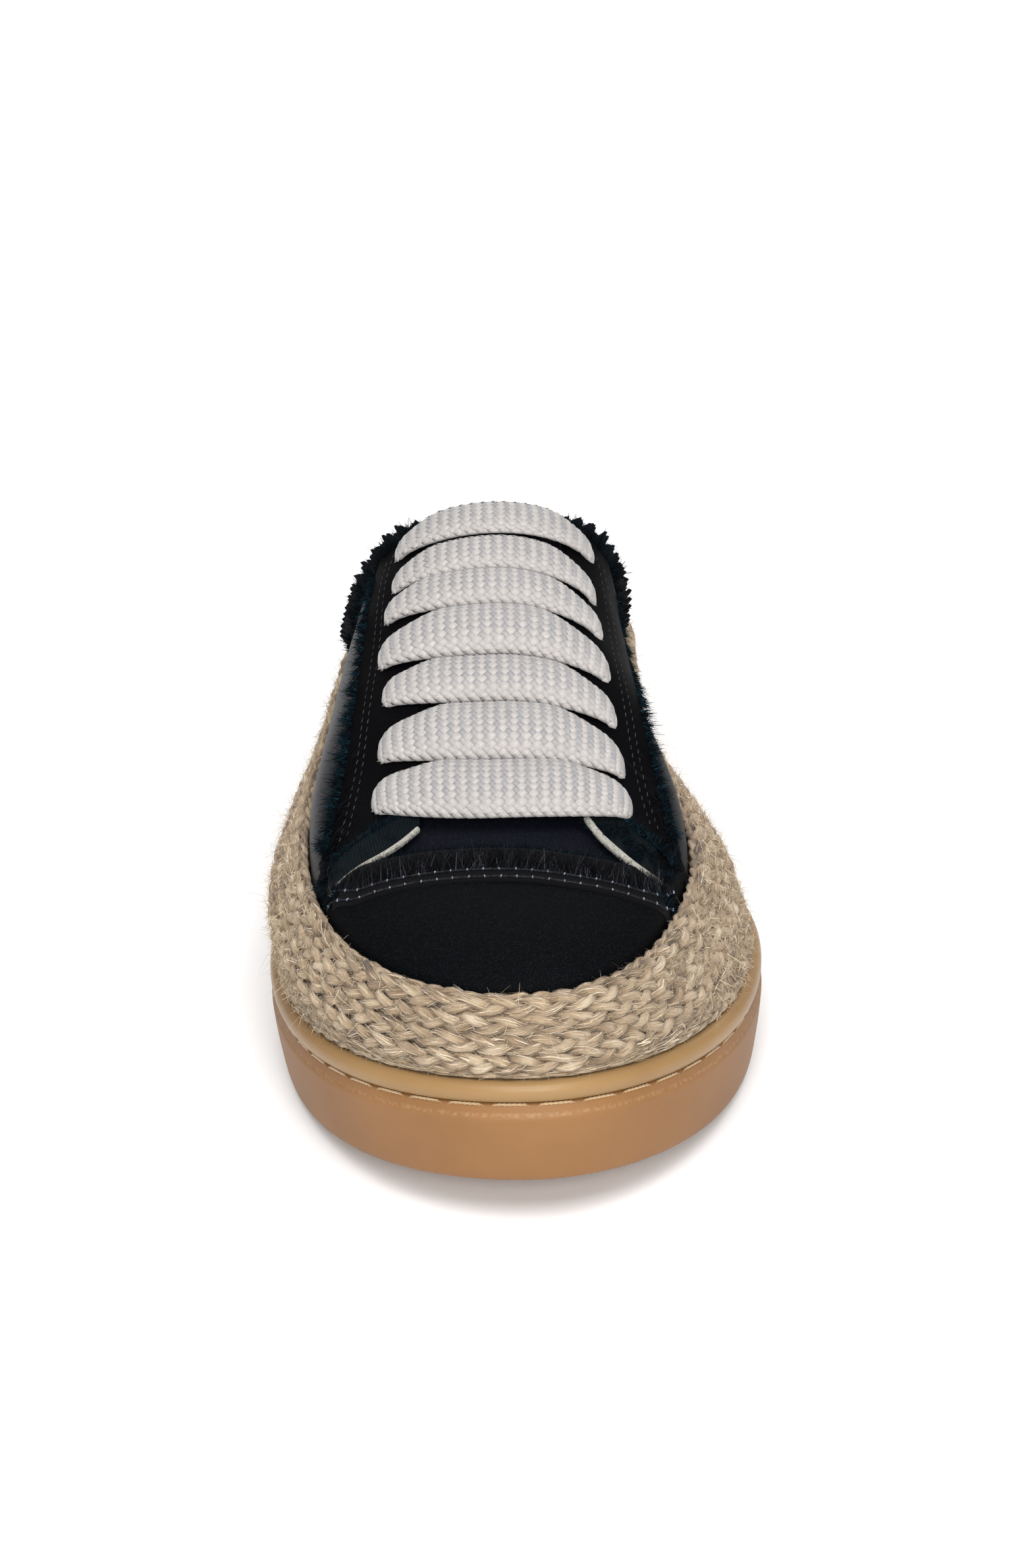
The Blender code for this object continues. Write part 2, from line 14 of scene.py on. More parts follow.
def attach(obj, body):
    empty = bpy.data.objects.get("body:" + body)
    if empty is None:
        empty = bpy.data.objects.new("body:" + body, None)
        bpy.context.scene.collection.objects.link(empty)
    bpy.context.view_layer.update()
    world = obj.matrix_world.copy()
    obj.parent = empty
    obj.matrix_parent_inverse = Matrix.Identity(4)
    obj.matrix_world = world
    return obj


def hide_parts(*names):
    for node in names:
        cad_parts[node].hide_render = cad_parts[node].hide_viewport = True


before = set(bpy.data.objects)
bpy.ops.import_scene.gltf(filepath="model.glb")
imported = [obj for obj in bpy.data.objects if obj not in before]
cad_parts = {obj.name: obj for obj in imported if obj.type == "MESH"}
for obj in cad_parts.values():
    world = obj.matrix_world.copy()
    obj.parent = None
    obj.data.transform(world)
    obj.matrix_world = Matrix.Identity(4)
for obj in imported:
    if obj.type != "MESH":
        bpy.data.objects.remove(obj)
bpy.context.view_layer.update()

RNG = np.random.default_rng(7)
TAU = 2 * math.pi

# ------------------------------------------------------------------ the shoe's own sizes
GAP = 0.3
LENGTH, TOE_X, HEEL_RUN, HEEL_POWER = 272.0, 2.7, 48.0, 2.1
TOE_SPRING, SPRING_END = 9.6, 83.0
HEEL_LIFT, HEEL_LIFT_RUN = 1.5, 12.0
ARCH_LIFT, ARCH_START, ARCH_END = 1.2, 112.0, 190.0
LATERAL = dict(
    side=-1, toe_run=87.6, toe_power=2.04, ball=50.7, waist_at=169.0, waist=46.3, heel=38.9,
)
MEDIAL = dict(
    side=1, toe_run=78.9, toe_power=1.90, ball=49.3, waist_at=165.0, waist=31.2, heel=32.6,
)
LEDGE_Z, BAND_TOP_Z, CUP_WALL, CUP_FLOOR_Z = 15.8, 20.0, 6.0, 6.0
JUTE_FOOT_INSET, JUTE_KNEE_Z, JUTE_KNEE_INSET, JUTE_RIM_Z = 2.9, 25.2, 4.3, 35.8
JUTE_RISE, RISE_END, RISE_EASE, TOE_DIP, TOE_DIP_RUN = 0.080, 130.0, 60.0, 2.2, 60.0
RIM_INSET = ((0.0, 8.7), (60.0, 11.2), (100.0, 11.2), (150.0, 9.5), (LENGTH, 9.0))
LEAN, LEAN_RUN, LEAN_FADE, LEAN_END = 2.2, 40.0, 85.0, 165.0
ARCH_FILL = (
    (60.0, 0.0), (85.0, -1.5), (110.0, -2.3), (130.0, -0.4), (150.0, 3.4), (170.0, 2.6),
    (190.0, 1.4), (220.0, 0.0),
)
ROW_PITCH, TOP_ROWS, LOWER_ROWS = 3.4, 4, 3
PLAIT = 17.0                    # repeat of the plait along a row of the jute
WALL, UPPER_END, INSOLE_T = 2.0, 186.0, 4.0
INSTEP = (
    (9.3, 42.2), (14.0, 45.6), (22.0, 48.4), (30.0, 49.9), (39.0, 51.0), (50.0, 52.6),
    (60.0, 55.0), (70.0, 59.5), (80.0, 64.6), (100.0, 75.0), (118.0, 84.0), (133.0, 91.0),
    (150.0, 97.0), (192.0, 104.0),
)
RIDGE = ((9.0, 2.0), (40.0, -1.0), (70.0, -2.5), (192.0, -2.5))
FULLNESS_LATERAL = ((9.0, 0.80), (80.0, 0.85), (110.0, 1.0), (150.0, 1.15))
FULLNESS_MEDIAL = ((9.0, 0.80), (80.0, 0.80), (110.0, 0.78), (150.0, 0.75))
FLOOR = ((0.0, 21.5), (85.0, 23.0), (190.0, 39.5), (LENGTH, 41.0))
COLLAR = (
    (136.5, 95.0), (140.5, 88.5), (145.0, 81.0), (149.5, 72.5), (154.5, 65.5), (161.0, 58.5),
    (170.0, 52.5), (181.0, 47.5), (190.0, 45.0),
)
SEAM = (
    (-34.0, 45.5), (-28.0, 40.6), (-15.0, 39.9), (0.0, 38.9), (14.0, 36.9), (22.0, 36.4),
    (27.0, 38.2), (30.0, 43.5),
)
THROAT_X, THROAT_HALF = -2.5, 14.5
FLAP_LATERAL = (
    (-17.0, 66.0), (-18.3, 63.0), (-20.8, 60.9), (-23.6, 58.9), (-27.3, 55.8), (-31.0, 51.4),
    (-34.4, 49.6),
)
FLAP_MEDIAL = (
    (12.0, 66.0), (12.8, 63.0), (14.8, 60.4), (18.0, 56.7), (21.5, 52.2), (25.2, 48.6),
    (30.0, 47.4),
)
STAY = (
    (58.0, 34.6), (66.0, 33.2), (80.0, 31.4), (100.0, 29.6), (125.0, 28.0), (140.0, 26.2),
    (152.0, 23.0),
)
LACE_HALF = 7.4
LACE_SET = (  # how far a bar's front edge rides up, its share of the width, the swell of its middle
    (0.15, 1.12, 2.6), (0.35, 1.07, 2.4), (0.4, 0.89, 1.6), (0.5, 1.02, 2.2), (0.5, 0.77, 1.0),
    (0.5, 0.72, 0.6), (0.5, 0.74, 0.5),
)
TONGUE = ((34.0, 28.0), (45.0, 31.5), (56.0, 31.0), (66.0, 24.0), (130.0, 21.5), (137.0, 17.0))
FELT_LATERAL = ((-17.5, 59.0), (-21.5, 55.0), (-24.5, 53.0), (-29.5, 51.0), (-34.5, 48.5))
FELT_MEDIAL = ((14.0, 60.5), (16.5, 55.5), (20.0, 50.5), (23.0, 47.0), (27.3, 43.9))
FRONT_LATERAL = (
    (-17.5, 63.0), (-21.5, 61.5), (-25.5, 59.5), (-29.5, 57.5), (-34.0, 54.5), (-36.0, 52.5),
)
FRONT_MEDIAL = ((12.5, 63.0), (19.0, 62.0), (21.5, 61.0), (24.0, 58.0), (27.0, 56.0), (30.0, 52.0))
BARS = (  # lateral x and station, station in the middle, medial x and station
    (-25.3, 70.5, 64.0, 21.7, 67.0), (-24.3, 82.5, 78.5, 20.7, 77.0),
    (-23.7, 96.5, 92.0, 19.6, 89.5), (-24.6, 108.0, 103.5, 18.7, 101.5),
    (-23.6, 121.0, 116.0, 17.6, 115.0), (-22.2, 129.0, 125.5, 16.7, 126.5),
    (-21.7, 140.0, 135.5, 16.8, 141.0),
)
SIDES = (  # side, facing, and the front edges of its felt and of its cloth
    (-1, "eyestay_lateral", FELT_LATERAL, FRONT_LATERAL),
    (1, "eyestay_medial", FELT_MEDIAL, FRONT_MEDIAL),
)


# ------------------------------------------------------------------------ the shoe's forms
def smooth(t):
    t = np.clip(t, 0.0, 1.0)
    return t * t * (3.0 - 2.0 * t)


def spline(table, at):
    """Monotone cubic through a table of (station, value) rows."""
    xs, ys = np.array(table, float).T
    d = np.diff(ys) / np.diff(xs)
    p, q = d[:-1], d[1:]
    with np.errstate(divide="ignore", invalid="ignore"):
        inner = np.where(p * q > 0, 2 * p * q / (p + q), 0.0)
    m = np.concatenate([d[:1], inner, d[-1:]])
    at = np.clip(np.asarray(at, float), xs[0], xs[-1])
    i = np.clip(np.searchsorted(xs, at, side="right") - 1, 0, len(xs) - 2)
    run = xs[i + 1] - xs[i]
    t = (at - xs[i]) / run
    return (
        ys[i] * (1 + 2 * t) * (1 - t) ** 2 + ys[i + 1] * t * t * (3 - 2 * t)
        + run * m[i] * t * (1 - t) ** 2 - run * m[i + 1] * t * t * (1 - t)
    )


def arc(t, power):
    t = np.clip(t, 0.0, 1.0)
    return (1.0 - (1.0 - t) ** power) ** (1.0 / power)


def half_width(half, s, inset=0.0):
    side, ball, waist, heel = half["side"], half["ball"], half["waist"], half["heel"]
    toe_run, waist_at = half["toe_run"], half["waist_at"]
    heel_at, tip = LENGTH - HEEL_RUN, half["side"] * TOE_X
    s, inset = np.asarray(s, float), np.asarray(inset, float)
    toe = tip + (ball - inset - tip) * arc((s - inset) / (toe_run - inset), half["toe_power"])
    mid = ball + (waist - ball) * smooth((s - toe_run) / (waist_at - toe_run)) - inset
    rear = waist + (heel - waist) * smooth((s - waist_at) / (heel_at - waist_at)) - inset
    back = (heel - inset) * arc((LENGTH - inset - s) / (HEEL_RUN - inset), HEEL_POWER)
    return side * np.select([s < toe_run, s < waist_at, s < heel_at], [toe, mid, rear], back)


def toe_lift(s):
    return TOE_SPRING * np.maximum(0.0, 1.0 - np.asarray(s, float) / SPRING_END) ** 2


def tread_z(s):
    s = np.asarray(s, float)
    hollow = ARCH_LIFT * np.sin(math.pi * np.clip((s - ARCH_START) / (ARCH_END - ARCH_START), 0, 1)) ** 2
    heel = np.maximum(0.0, (s - LENGTH + HEEL_LIFT_RUN) / HEEL_LIFT_RUN)
    return toe_lift(s) + hollow + HEEL_LIFT * heel ** 2


def climb(s):
    s = np.asarray(s, float)
    t = np.clip((s - RISE_END) / RISE_EASE, 0.0, 1.0)
    return JUTE_RISE * (np.minimum(s, RISE_END) + RISE_EASE * (t - t * t / 2.0))


def rim_z(s):
    dip = TOE_DIP * np.maximum(0.0, 1.0 - np.asarray(s, float) / TOE_DIP_RUN)
    return JUTE_RIM_Z - dip + climb(s) + toe_lift(s)


def knee_z(s):
    return JUTE_KNEE_Z + climb(s) + toe_lift(s)


def floor_z(s):
    return spline(FLOOR, s) + toe_lift(s)


def rim_inset(s):
    return spline(RIM_INSET, s)


def lean(s, upright=1.0, rim=1.0):
    """Shift of the upper's edge, lateral and medial."""
    s = np.asarray(s, float)
    fade = 1.0 - smooth((s - LEAN_FADE) / (LEAN_END - LEAN_FADE))
    both = -LEAN * np.minimum(1.0, s / LEAN_RUN) * fade * upright
    return both, both + spline(ARCH_FILL, s) * rim


def braid_point(s, row, share):
    """Inset and height on the plain face of the braid, share runs across one row."""
    s = np.asarray(s, float)
    rim = np.stack([rim_inset(s) - 1.1, rim_z(s)])
    knee = np.stack([np.full_like(s, JUTE_KNEE_INSET), knee_z(s)])
    foot = np.stack([np.full_like(s, JUTE_FOOT_INSET), BAND_TOP_Z + GAP + toe_lift(s)])
    slope = np.linalg.norm(knee - rim, axis=0)
    wall = np.linalg.norm(foot - knee, axis=0)
    top = TOP_ROWS * ROW_PITCH
    lower = (slope + wall - top) / LOWER_ROWS
    along = (row + share) * ROW_PITCH if row < TOP_ROWS else top + (row - TOP_ROWS + share) * lower
    along = along + 0.0 * s
    upper_part = rim + (knee - rim) * np.clip(along / slope, 0, 1)
    lower_part = knee + (foot - knee) * np.clip((along - slope) / wall, 0, 1)
    inset, height = np.where(along < slope, upper_part, lower_part)
    return inset, height


def braid_shift(s, height):
    foot = BAND_TOP_Z + toe_lift(s)
    wall = np.clip((height - foot) / (knee_z(s) - foot), 0, 1)
    slope = np.clip((height - knee_z(s)) / (rim_z(s) - knee_z(s)), 0, 1)
    return lean(s, wall, slope)


FINE, COARSE = (90, 60, 60), (60, 40, 40)       # points round the toe, between, round the heel


def fractions(toe_n, mid_n, heel_n):
    toe, heel = MEDIAL["toe_run"] / LENGTH, HEEL_RUN / LENGTH
    a = toe * (1 - np.cos(math.pi / 2 * np.arange(toe_n) / toe_n))
    b = toe + (1 - heel - toe) * np.arange(mid_n) / mid_n
    c = 1 - heel + heel * np.sin(math.pi / 2 * np.arange(heel_n + 1) / heel_n)
    return np.concatenate([a, b, c])


def stations(inset, density):
    """Stations along a loop that keeps this inset at the toe and the heel too."""
    share = fractions(*density)
    s = LENGTH * share
    for _ in range(5):
        edge = inset(s) if callable(inset) else inset
        s = edge + (LENGTH - 2 * edge) * share
    return s


def ring(inset, height, shift=None, density=FINE):
    """A dense closed loop round the sole: lateral side back, medial side forward."""
    s = stations(inset, density)
    edge = inset(s) if callable(inset) else inset
    z = height(s)
    moved = shift(s) if shift else (0.0, 0.0)
    sides = [
        np.stack([half_width(half, s, edge) + moved[i], s, z], axis=1)
        for i, half in enumerate((LATERAL, MEDIAL))
    ]
    return np.concatenate([sides[0], sides[1][-2:0:-1]])


def spaced(line, count, *others, closed=False):
    """Even distances along a line, its length, and the line and others picked at those distances."""
    rows = [np.vstack([p, p[:1]]) if closed else p for p in (line, *others)]
    run = np.concatenate([[0.0], np.cumsum(np.linalg.norm(np.diff(rows[0], axis=0), axis=1))])
    at = np.linspace(0, run[-1], count, endpoint=not closed)
    return at, run[-1], [np.stack([np.interp(at, run, p[:, i]) for i in range(3)], 1) for p in rows]


def edge_station(table, x):
    """Station at x of a line that runs out to one side of the shoe."""
    return spline([(abs(edge), s) for edge, s in table], np.abs(x))


def upper_edges(s, shrink=0.0):
    inset = rim_inset(s) + 2 * GAP + shrink
    shifts = lean(s)
    return tuple(half_width(half, s, inset) + shifts[i] for i, half in enumerate((LATERAL, MEDIAL)))


def upper_z(s, x, shrink=0.0):
    ridge = spline(RIDGE, s)
    left, right = upper_edges(s, shrink)
    medial = x > ridge
    c = np.clip((x - ridge) / np.where(medial, right - ridge, left - ridge), 0, 1)
    power = np.where(medial, spline(FULLNESS_MEDIAL, s), spline(FULLNESS_LATERAL, s))
    base = rim_z(s)
    rise = spline(INSTEP, s) - shrink - base
    return base + rise * (1 - c * c) ** (power / 2)


def upper_frame(x, s):
    """Point, normal, across and along directions on the outer face of the upper."""
    x, s = np.broadcast_arrays(np.asarray(x, float), np.asarray(s, float))
    d = 0.25
    z = upper_z(s, x)
    across = np.stack([np.full_like(x, 2 * d), 0 * x, upper_z(s, x + d) - upper_z(s, x - d)], -1)
    along = np.stack([0 * x, np.full_like(x, 2 * d), upper_z(s + d, x) - upper_z(s - d, x)], -1)
    normal = unit(np.cross(across, along))
    return np.stack([x, s, z], -1), normal, unit(across), unit(along)


# ---------------------------------------------------------------------------- mesh helpers
def unit(v):
    return v / np.maximum(np.linalg.norm(v, axis=-1, keepdims=True), 1e-9)


def build(name, verts, faces, materials, uv=None, picks=None, tone=None, replaces=(), slot=None):
    """Makes one piece from millimetre points. picks gives each face's material."""
    verts = np.asarray(verts, float).reshape(-1, 3)
    metres = (verts - [0.0, LENGTH / 2, 0.0]) * 0.001
    faces = np.asarray(faces)
    mesh = bpy.data.meshes.new(name)
    mesh.from_pydata(metres.tolist(), [], faces.tolist())
    for made in materials:
        mesh.materials.append(made)
    if picks is not None:
        mesh.polygons.foreach_set("material_index", np.asarray(picks, np.int32))
    loops = faces.reshape(-1)
    if uv is not None:
        layer = mesh.uv_layers.new(name="UVMap")
        layer.data.foreach_set("uv", np.asarray(uv, float).reshape(-1, 2)[loops].reshape(-1))
    if tone is not None:
        layer = mesh.attributes.new("tone", "FLOAT", "POINT")
        layer.data.foreach_set("value", np.asarray(tone, float).reshape(-1))
    mesh.polygons.foreach_set("use_smooth", np.full(len(faces), True))
    mesh.update()
    piece = bpy.data.objects.new(name, mesh)
    bpy.context.scene.collection.objects.link(piece)
    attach(piece, "root")
    if replaces:
        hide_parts(*replaces)
    return piece


def grid_faces(rows, cols, wrap=False, flip=False, close=False):
    """Quads of a grid of rows by cols points. wrap closes each row, close joins last row and first."""
    r = np.arange(rows if close else rows - 1)[:, None]
    c = np.arange(cols if wrap else cols - 1)[None, :]
    here, after, d = r * cols, (r + 1) % rows * cols, (c + 1) % cols
    quads = np.stack(np.broadcast_arrays(here + c, here + d, after + d, after + c), -1).reshape(-1, 4)
    return quads[:, ::-1] if flip else quads


def tubes(paths, normals, wide, thick, sides, closed=False, shape=None):
    """Tubes along one path (points, 3) or many (many, points, 3), alike in length.

    wide and thick are radii across and along the normals, and shape varies them round the tube.
    """
    if paths.ndim == 2:
        paths, normals = paths[None], normals[None]
    m, n, _ = paths.shape
    if closed:
        tangent = np.roll(paths, -1, 1) - np.roll(paths, 1, 1)
    else:
        tangent = np.gradient(paths, axis=1)
    tangent = unit(tangent)
    side = unit(np.cross(tangent, normals))
    up = np.cross(side, tangent)
    turn = np.arange(sides) * TAU / sides
    wide = np.broadcast_to(wide, (m, n))[..., None, None]
    thick = np.broadcast_to(thick, (m, n))[..., None, None]
    bulge = 1.0 if shape is None else shape[..., None]
    verts = paths[:, :, None] + bulge * (
        wide * np.cos(turn)[:, None] * side[:, :, None] + thick * np.sin(turn)[:, None] * up[:, :, None]
    )
    quad = grid_faces(n, sides, wrap=True, close=closed)
    faces = (quad[None] + (np.arange(m) * n * sides)[:, None, None]).reshape(-1, 4)
    return verts, faces


def strips(count, segments):
    """Quads of flat strips with two points at every step."""
    step = np.arange(segments)[:, None] * 2
    quad = np.concatenate([step, step + 1, step + 3, step + 2], 1)
    return (quad[None] + (np.arange(count) * 2 * (segments + 1))[:, None, None]).reshape(-1, 4)


def ribbons(roots, aims, bend, length, width, segments=3):
    """Thin flat hairs: roots and aims are (n, 3), bend (n, 3) curls them, width in mm."""
    n = len(roots)
    t = np.linspace(0, 1, segments + 1)[None, :, None]
    length = np.broadcast_to(length, (n,))[:, None, None]
    path = roots[:, None] + length * (aims[:, None] * t + bend[:, None] * t * t)
    side = unit(np.cross(aims, bend + RNG.normal(0, 0.4, (n, 3))))
    taper = np.broadcast_to(width, (n,))[:, None, None] * (1 - 0.7 * t) / 2
    verts = np.stack([path - side[:, None] * taper, path + side[:, None] * taper], 2)
    return verts.reshape(-1, 3), strips(n, segments)


def merge(parts):
    """Joins the points and the faces of (verts, faces) parts."""
    verts, faces, base = [], [], 0
    for part, quads in parts:
        part = np.asarray(part).reshape(-1, 3)
        verts.append(part)
        faces.append(np.asarray(quads) + base)
        base += len(part)
    return np.concatenate(verts), np.concatenate(faces)


def build_joined(name, parts, materials, uvs=None, tones=None, **options):
    """Makes one piece from (verts, faces) parts, with a UV map and tones for each part."""
    if uvs is not None:
        options["uv"] = np.concatenate(uvs)
    if tones is not None:
        options["tone"] = np.concatenate(tones)
    build(name, *merge(parts), materials, **options)


def thicken(piece, wall, offset=-1.0, inner_material=0):
    """Gives a sheet its wall in millimetres, and its inner face another of its materials."""
    solid = piece.modifiers.new("wall", "SOLIDIFY")
    solid.thickness, solid.offset, solid.material_offset = wall * 0.001, offset, inner_material


def wander(at, pitch, seed, terms=5):
    """A smooth, repeatable wobble between about -1 and 1 along a length."""
    rng = np.random.default_rng(seed)
    out = 0.0
    for _ in range(terms):
        out = out + np.sin(at * TAU / (pitch * rng.uniform(0.6, 1.9)) + rng.uniform(0, TAU))
    return out / terms ** 0.5 / 1.2


# ------------------------------------------------------------------------------ materials
class Nodes:
    """A material's node tree, with short ways to add and join nodes."""

    def __init__(self, name, roughness=0.5, **inputs):
        self.material = bpy.data.materials.new(name)
        self.material.use_nodes = True
        self.tree = self.material.node_tree
        self.shader = self.tree.nodes["Principled BSDF"]
        self.set(self.shader, Roughness=roughness, **inputs)

    def put(self, socket, value):
        if isinstance(value, bpy.types.NodeSocket):
            self.tree.links.new(value, socket)
        else:
            socket.default_value = value

    def set(self, node, **inputs):
        for key, value in inputs.items():
            self.put(node.inputs[key.replace("_", " ")], value)
        return node

    def add(self, kind, settings=None, **inputs):
        node = self.tree.nodes.new(kind)
        for key, value in (settings or {}).items():
            setattr(node, key, value)
        return self.set(node, **inputs)

    def where(self, uv=False, scale=(1.0, 1.0, 1.0)):
        """Coordinates in millimetres, or the UV map, scaled."""
        source = self.add("ShaderNodeTexCoord").outputs["UV" if uv else "Object"]
        k = 1.0 if uv else 1000.0
        return self.add("ShaderNodeMapping", Vector=source, Scale=tuple(k * v for v in scale)).outputs[0]

    def noise(self, vector, scale, detail=3.0, rough=0.55, distortion=0.0):
        node = self.add("ShaderNodeTexNoise", Vector=vector, Scale=scale, Detail=detail)
        return self.set(node, Roughness=rough, Distortion=distortion).outputs["Fac"]

    def ramp(self, value, stops):
        node = self.add("ShaderNodeValToRGB", Fac=value)
        marks = node.color_ramp.elements
        while len(marks) < len(stops):
            marks.new(0.5)
        for mark, (at, colour) in zip(marks, stops):
            mark.position = at
            mark.color = (*colour, 1.0)
        return node.outputs["Color"]

    def shades(self, value, stops):
        """A ramp of 8-bit colours."""
        return self.ramp(value, [(at, srgb(*colour)) for at, colour in stops])

    def math(self, operation, a, b=0.0):
        node = self.add("ShaderNodeMath", {"operation": operation})
        self.put(node.inputs[0], a)
        self.put(node.inputs[1], b)
        return node.outputs[0]

    def weighted(self, *terms):
        """Sum of (value, weight) terms."""
        total = None
        for value, weight in terms:
            value = self.math("MULTIPLY", value, weight)
            total = value if total is None else self.math("ADD", total, value)
        return total

    def mix(self, factor, a, b, blend="MIX"):
        node = self.add("ShaderNodeMix", {"data_type": "RGBA", "blend_type": blend})
        for place, value in ((0, factor), (6, a), (7, b)):
            self.put(node.inputs[place], (*value, 1.0) if isinstance(value, tuple) else value)
        return node.outputs[2]

    def attribute(self, name):
        return self.add("ShaderNodeAttribute", {"attribute_name": name}).outputs["Fac"]

    def bump(self, height, distance, strength=1.0):
        node = self.add("ShaderNodeBump", Height=height, Distance=distance * 0.001, Strength=strength)
        self.set(self.shader, Normal=node.outputs[0])


def srgb(r, g, b):
    """Linear colour from 8-bit display values."""
    shares = (r / 255, g / 255, b / 255)
    return tuple(v / 12.92 if v <= 0.04045 else ((v + 0.055) / 1.055) ** 2.4 for v in shares)


def cloudy_material(name, roughness, scale, detail, low, high, **inputs):
    """A plain material whose colour wanders between two (position, 8-bit colour) stops."""
    n = Nodes(name, roughness, **inputs)
    n.set(n.shader, Base_Color=n.shades(n.noise(n.where(), scale, detail), [low, high]))
    return n.material


def gum_material(name, light, dark, roughness, grain, highlight_and_wear=None):
    n = Nodes(name, roughness, Specular_IOR_Level=0.3)
    at = n.where()
    cloud = n.noise(at, 0.035, 4.0)
    colour = n.shades(cloud, [(0.3, dark), (0.7, light)])
    if highlight_and_wear:
        # A pale line where the tone attribute is set, broken into blotches: painted highlight on the ledge,
        # with some wear.
        blotches = n.ramp(n.noise(at, 1.3, 4.0), [(0.42, (0.0, 0.0, 0.0)), (0.62, (1.0, 1.0, 1.0))])
        highlight_and_wear_mask = n.math("MULTIPLY", n.math("MULTIPLY", blotches, n.attribute("tone")), 0.17)
        colour = n.mix(highlight_and_wear_mask, colour, srgb(*highlight_and_wear))
    n.set(n.shader, Base_Color=colour)
    fine = n.noise(at, 2.6, 5.0, 0.7)
    broad = n.noise(at, 0.12, 2.0)
    n.bump(n.weighted((fine, grain), (broad, 0.6)), 0.12, 0.6)
    n.set(n.shader, Subsurface_Weight=0.08, Subsurface_Scale=0.002, Subsurface_Radius=(1.0, 0.5, 0.25))
    return n.material


def yarn_material(name, colours, streak, bump):
    """Bundled plant fibre: streaks run along u of the UV map, in millimetres."""
    n = Nodes(name, 0.9, Specular_IOR_Level=0.12, Sheen_Weight=0.2, Sheen_Roughness=0.7)
    along = n.where(uv=True, scale=(streak, 1.0, 1.0))
    fibres = n.noise(along, 7.5, 5.0, 0.75, 0.4)
    cloud = n.noise(n.where(), 0.16, 3.0)
    # The tone attribute adds random tone, and on the plaited strands painted shade where they dip under.
    tone = n.attribute("tone")
    value = n.weighted((fibres, 0.75), (cloud, 0.25), (tone, 0.22))
    n.set(n.shader, Base_Color=n.shades(value, colours))
    n.bump(fibres, bump, 0.9)
    return n.material


def hair_material(name, colours, roughness=0.7, sheen=0.2):
    n = Nodes(name, roughness, Specular_IOR_Level=0.06, Sheen_Weight=sheen, Sheen_Roughness=0.5)
    n.set(n.shader, Base_Color=n.shades(n.attribute("tone"), colours))
    return n.material


GUM = gum_material("gum_rubber", (136, 97, 58), (126, 88, 51), 0.55, 0.5, (196, 172, 140))
BAND = gum_material("gum_band", (146, 116, 76), (136, 105, 67), 0.36, 0.12)
JUTE = yarn_material(
    "jute_yarn",
    [(0.30, (64, 47, 32)), (0.44, (130, 107, 80)), (0.60, (178, 154, 123)), (0.80, (218, 200, 174))],
    streak=0.06, bump=0.40,
)
STRAW = hair_material(
    "jute_hairs",
    [(0.0, (110, 88, 62)), (0.3, (158, 136, 108)), (0.7, (194, 174, 146)), (1.0, (226, 214, 194))],
    roughness=0.6,
)


TREAD_INSET = 4.6               # where the tread's own sheet takes over from the wall
SOLE_WALL = (                   # inset and height, up the wall, over the ledge and down inside
    (TREAD_INSET, 0.0), (3.4, 0.0), (2.5, 0.05), (2.0, 0.25), (1.7, 0.7), (1.45, 1.6), (1.2, 3.0),
    (0.9, 5.0), (0.6, 7.0), (0.35, 9.0), (0.15, 11.0), (0.03, 12.4), (0.0, 12.9), (0.08, 13.25),
    (0.22, 13.5), (0.42, 13.8), (0.6, 14.3), (0.75, 14.9), (0.9, 15.4), (1.2, 15.75), (1.7, 15.95),
    (2.6, 15.98), (CUP_WALL, LEDGE_Z), (CUP_WALL, CUP_FLOOR_Z),
)
LEDGE_HIGHLIGHT_AND_WEAR = (13.4, 13.9)           # heights of a pale line along the ledge of the wall: painted highlight, with some wear
SOLE_BAND = (                   # the same for the band, from the ledge over its top
    (2.2, 16.05), (1.4, 16.05), (0.9, 16.2), (0.5, 16.5), (0.2, 16.95), (0.03, 17.5), (0.0, 18.0),
    (0.08, 18.5), (0.3, 19.0), (0.65, 19.4), (1.15, 19.75), (1.7, 19.95), (2.2, 20.0), (2.7, 19.95),
    (3.6, 19.9), (CUP_WALL, 20.0), (CUP_WALL, 16.1),
)


def sole_ring(inset, z):
    """A ring of the sole's side: near the ground it follows the tread, higher up only the toe."""
    base = tread_z if z < 1.0 else toe_lift
    return ring(inset, lambda s: base(s) + z)


def make_sole():
    """Cup sole with its tread, and the band above its ledge."""
    rings = [sole_ring(*row) for row in SOLE_WALL]
    count = len(rings[0])
    floor = (len(rings) - 1) * count
    i = np.arange(1, count // 2 - 1)
    rungs = floor + np.stack([i + 1, count - i - 1, count - i, i], -1)
    walls = grid_faces(len(rings), count, wrap=True)
    parts = [(np.concatenate(rings), np.concatenate([walls, rungs])), tread_sheet(TREAD_INSET)]
    # Tone 1 marks the pale line on the ledge: painted highlight, with some wear.
    tones = [np.repeat([float(LEDGE_HIGHLIGHT_AND_WEAR[0] < z < LEDGE_HIGHLIGHT_AND_WEAR[1]) for _, z in SOLE_WALL], count)]
    tones.append(np.zeros(len(parts[1][0])))
    build_joined("sole_cup", parts, [GUM], tones=tones, replaces=("outsole",), slot="gum_rubber")
    rings = [sole_ring(*row) for row in SOLE_BAND]
    faces = grid_faces(len(rings) + 1, count, wrap=True)
    build("sole_band", np.concatenate(rings + rings[:1]), faces, [BAND], replaces=("foxing_band",),
          slot="gum_band")


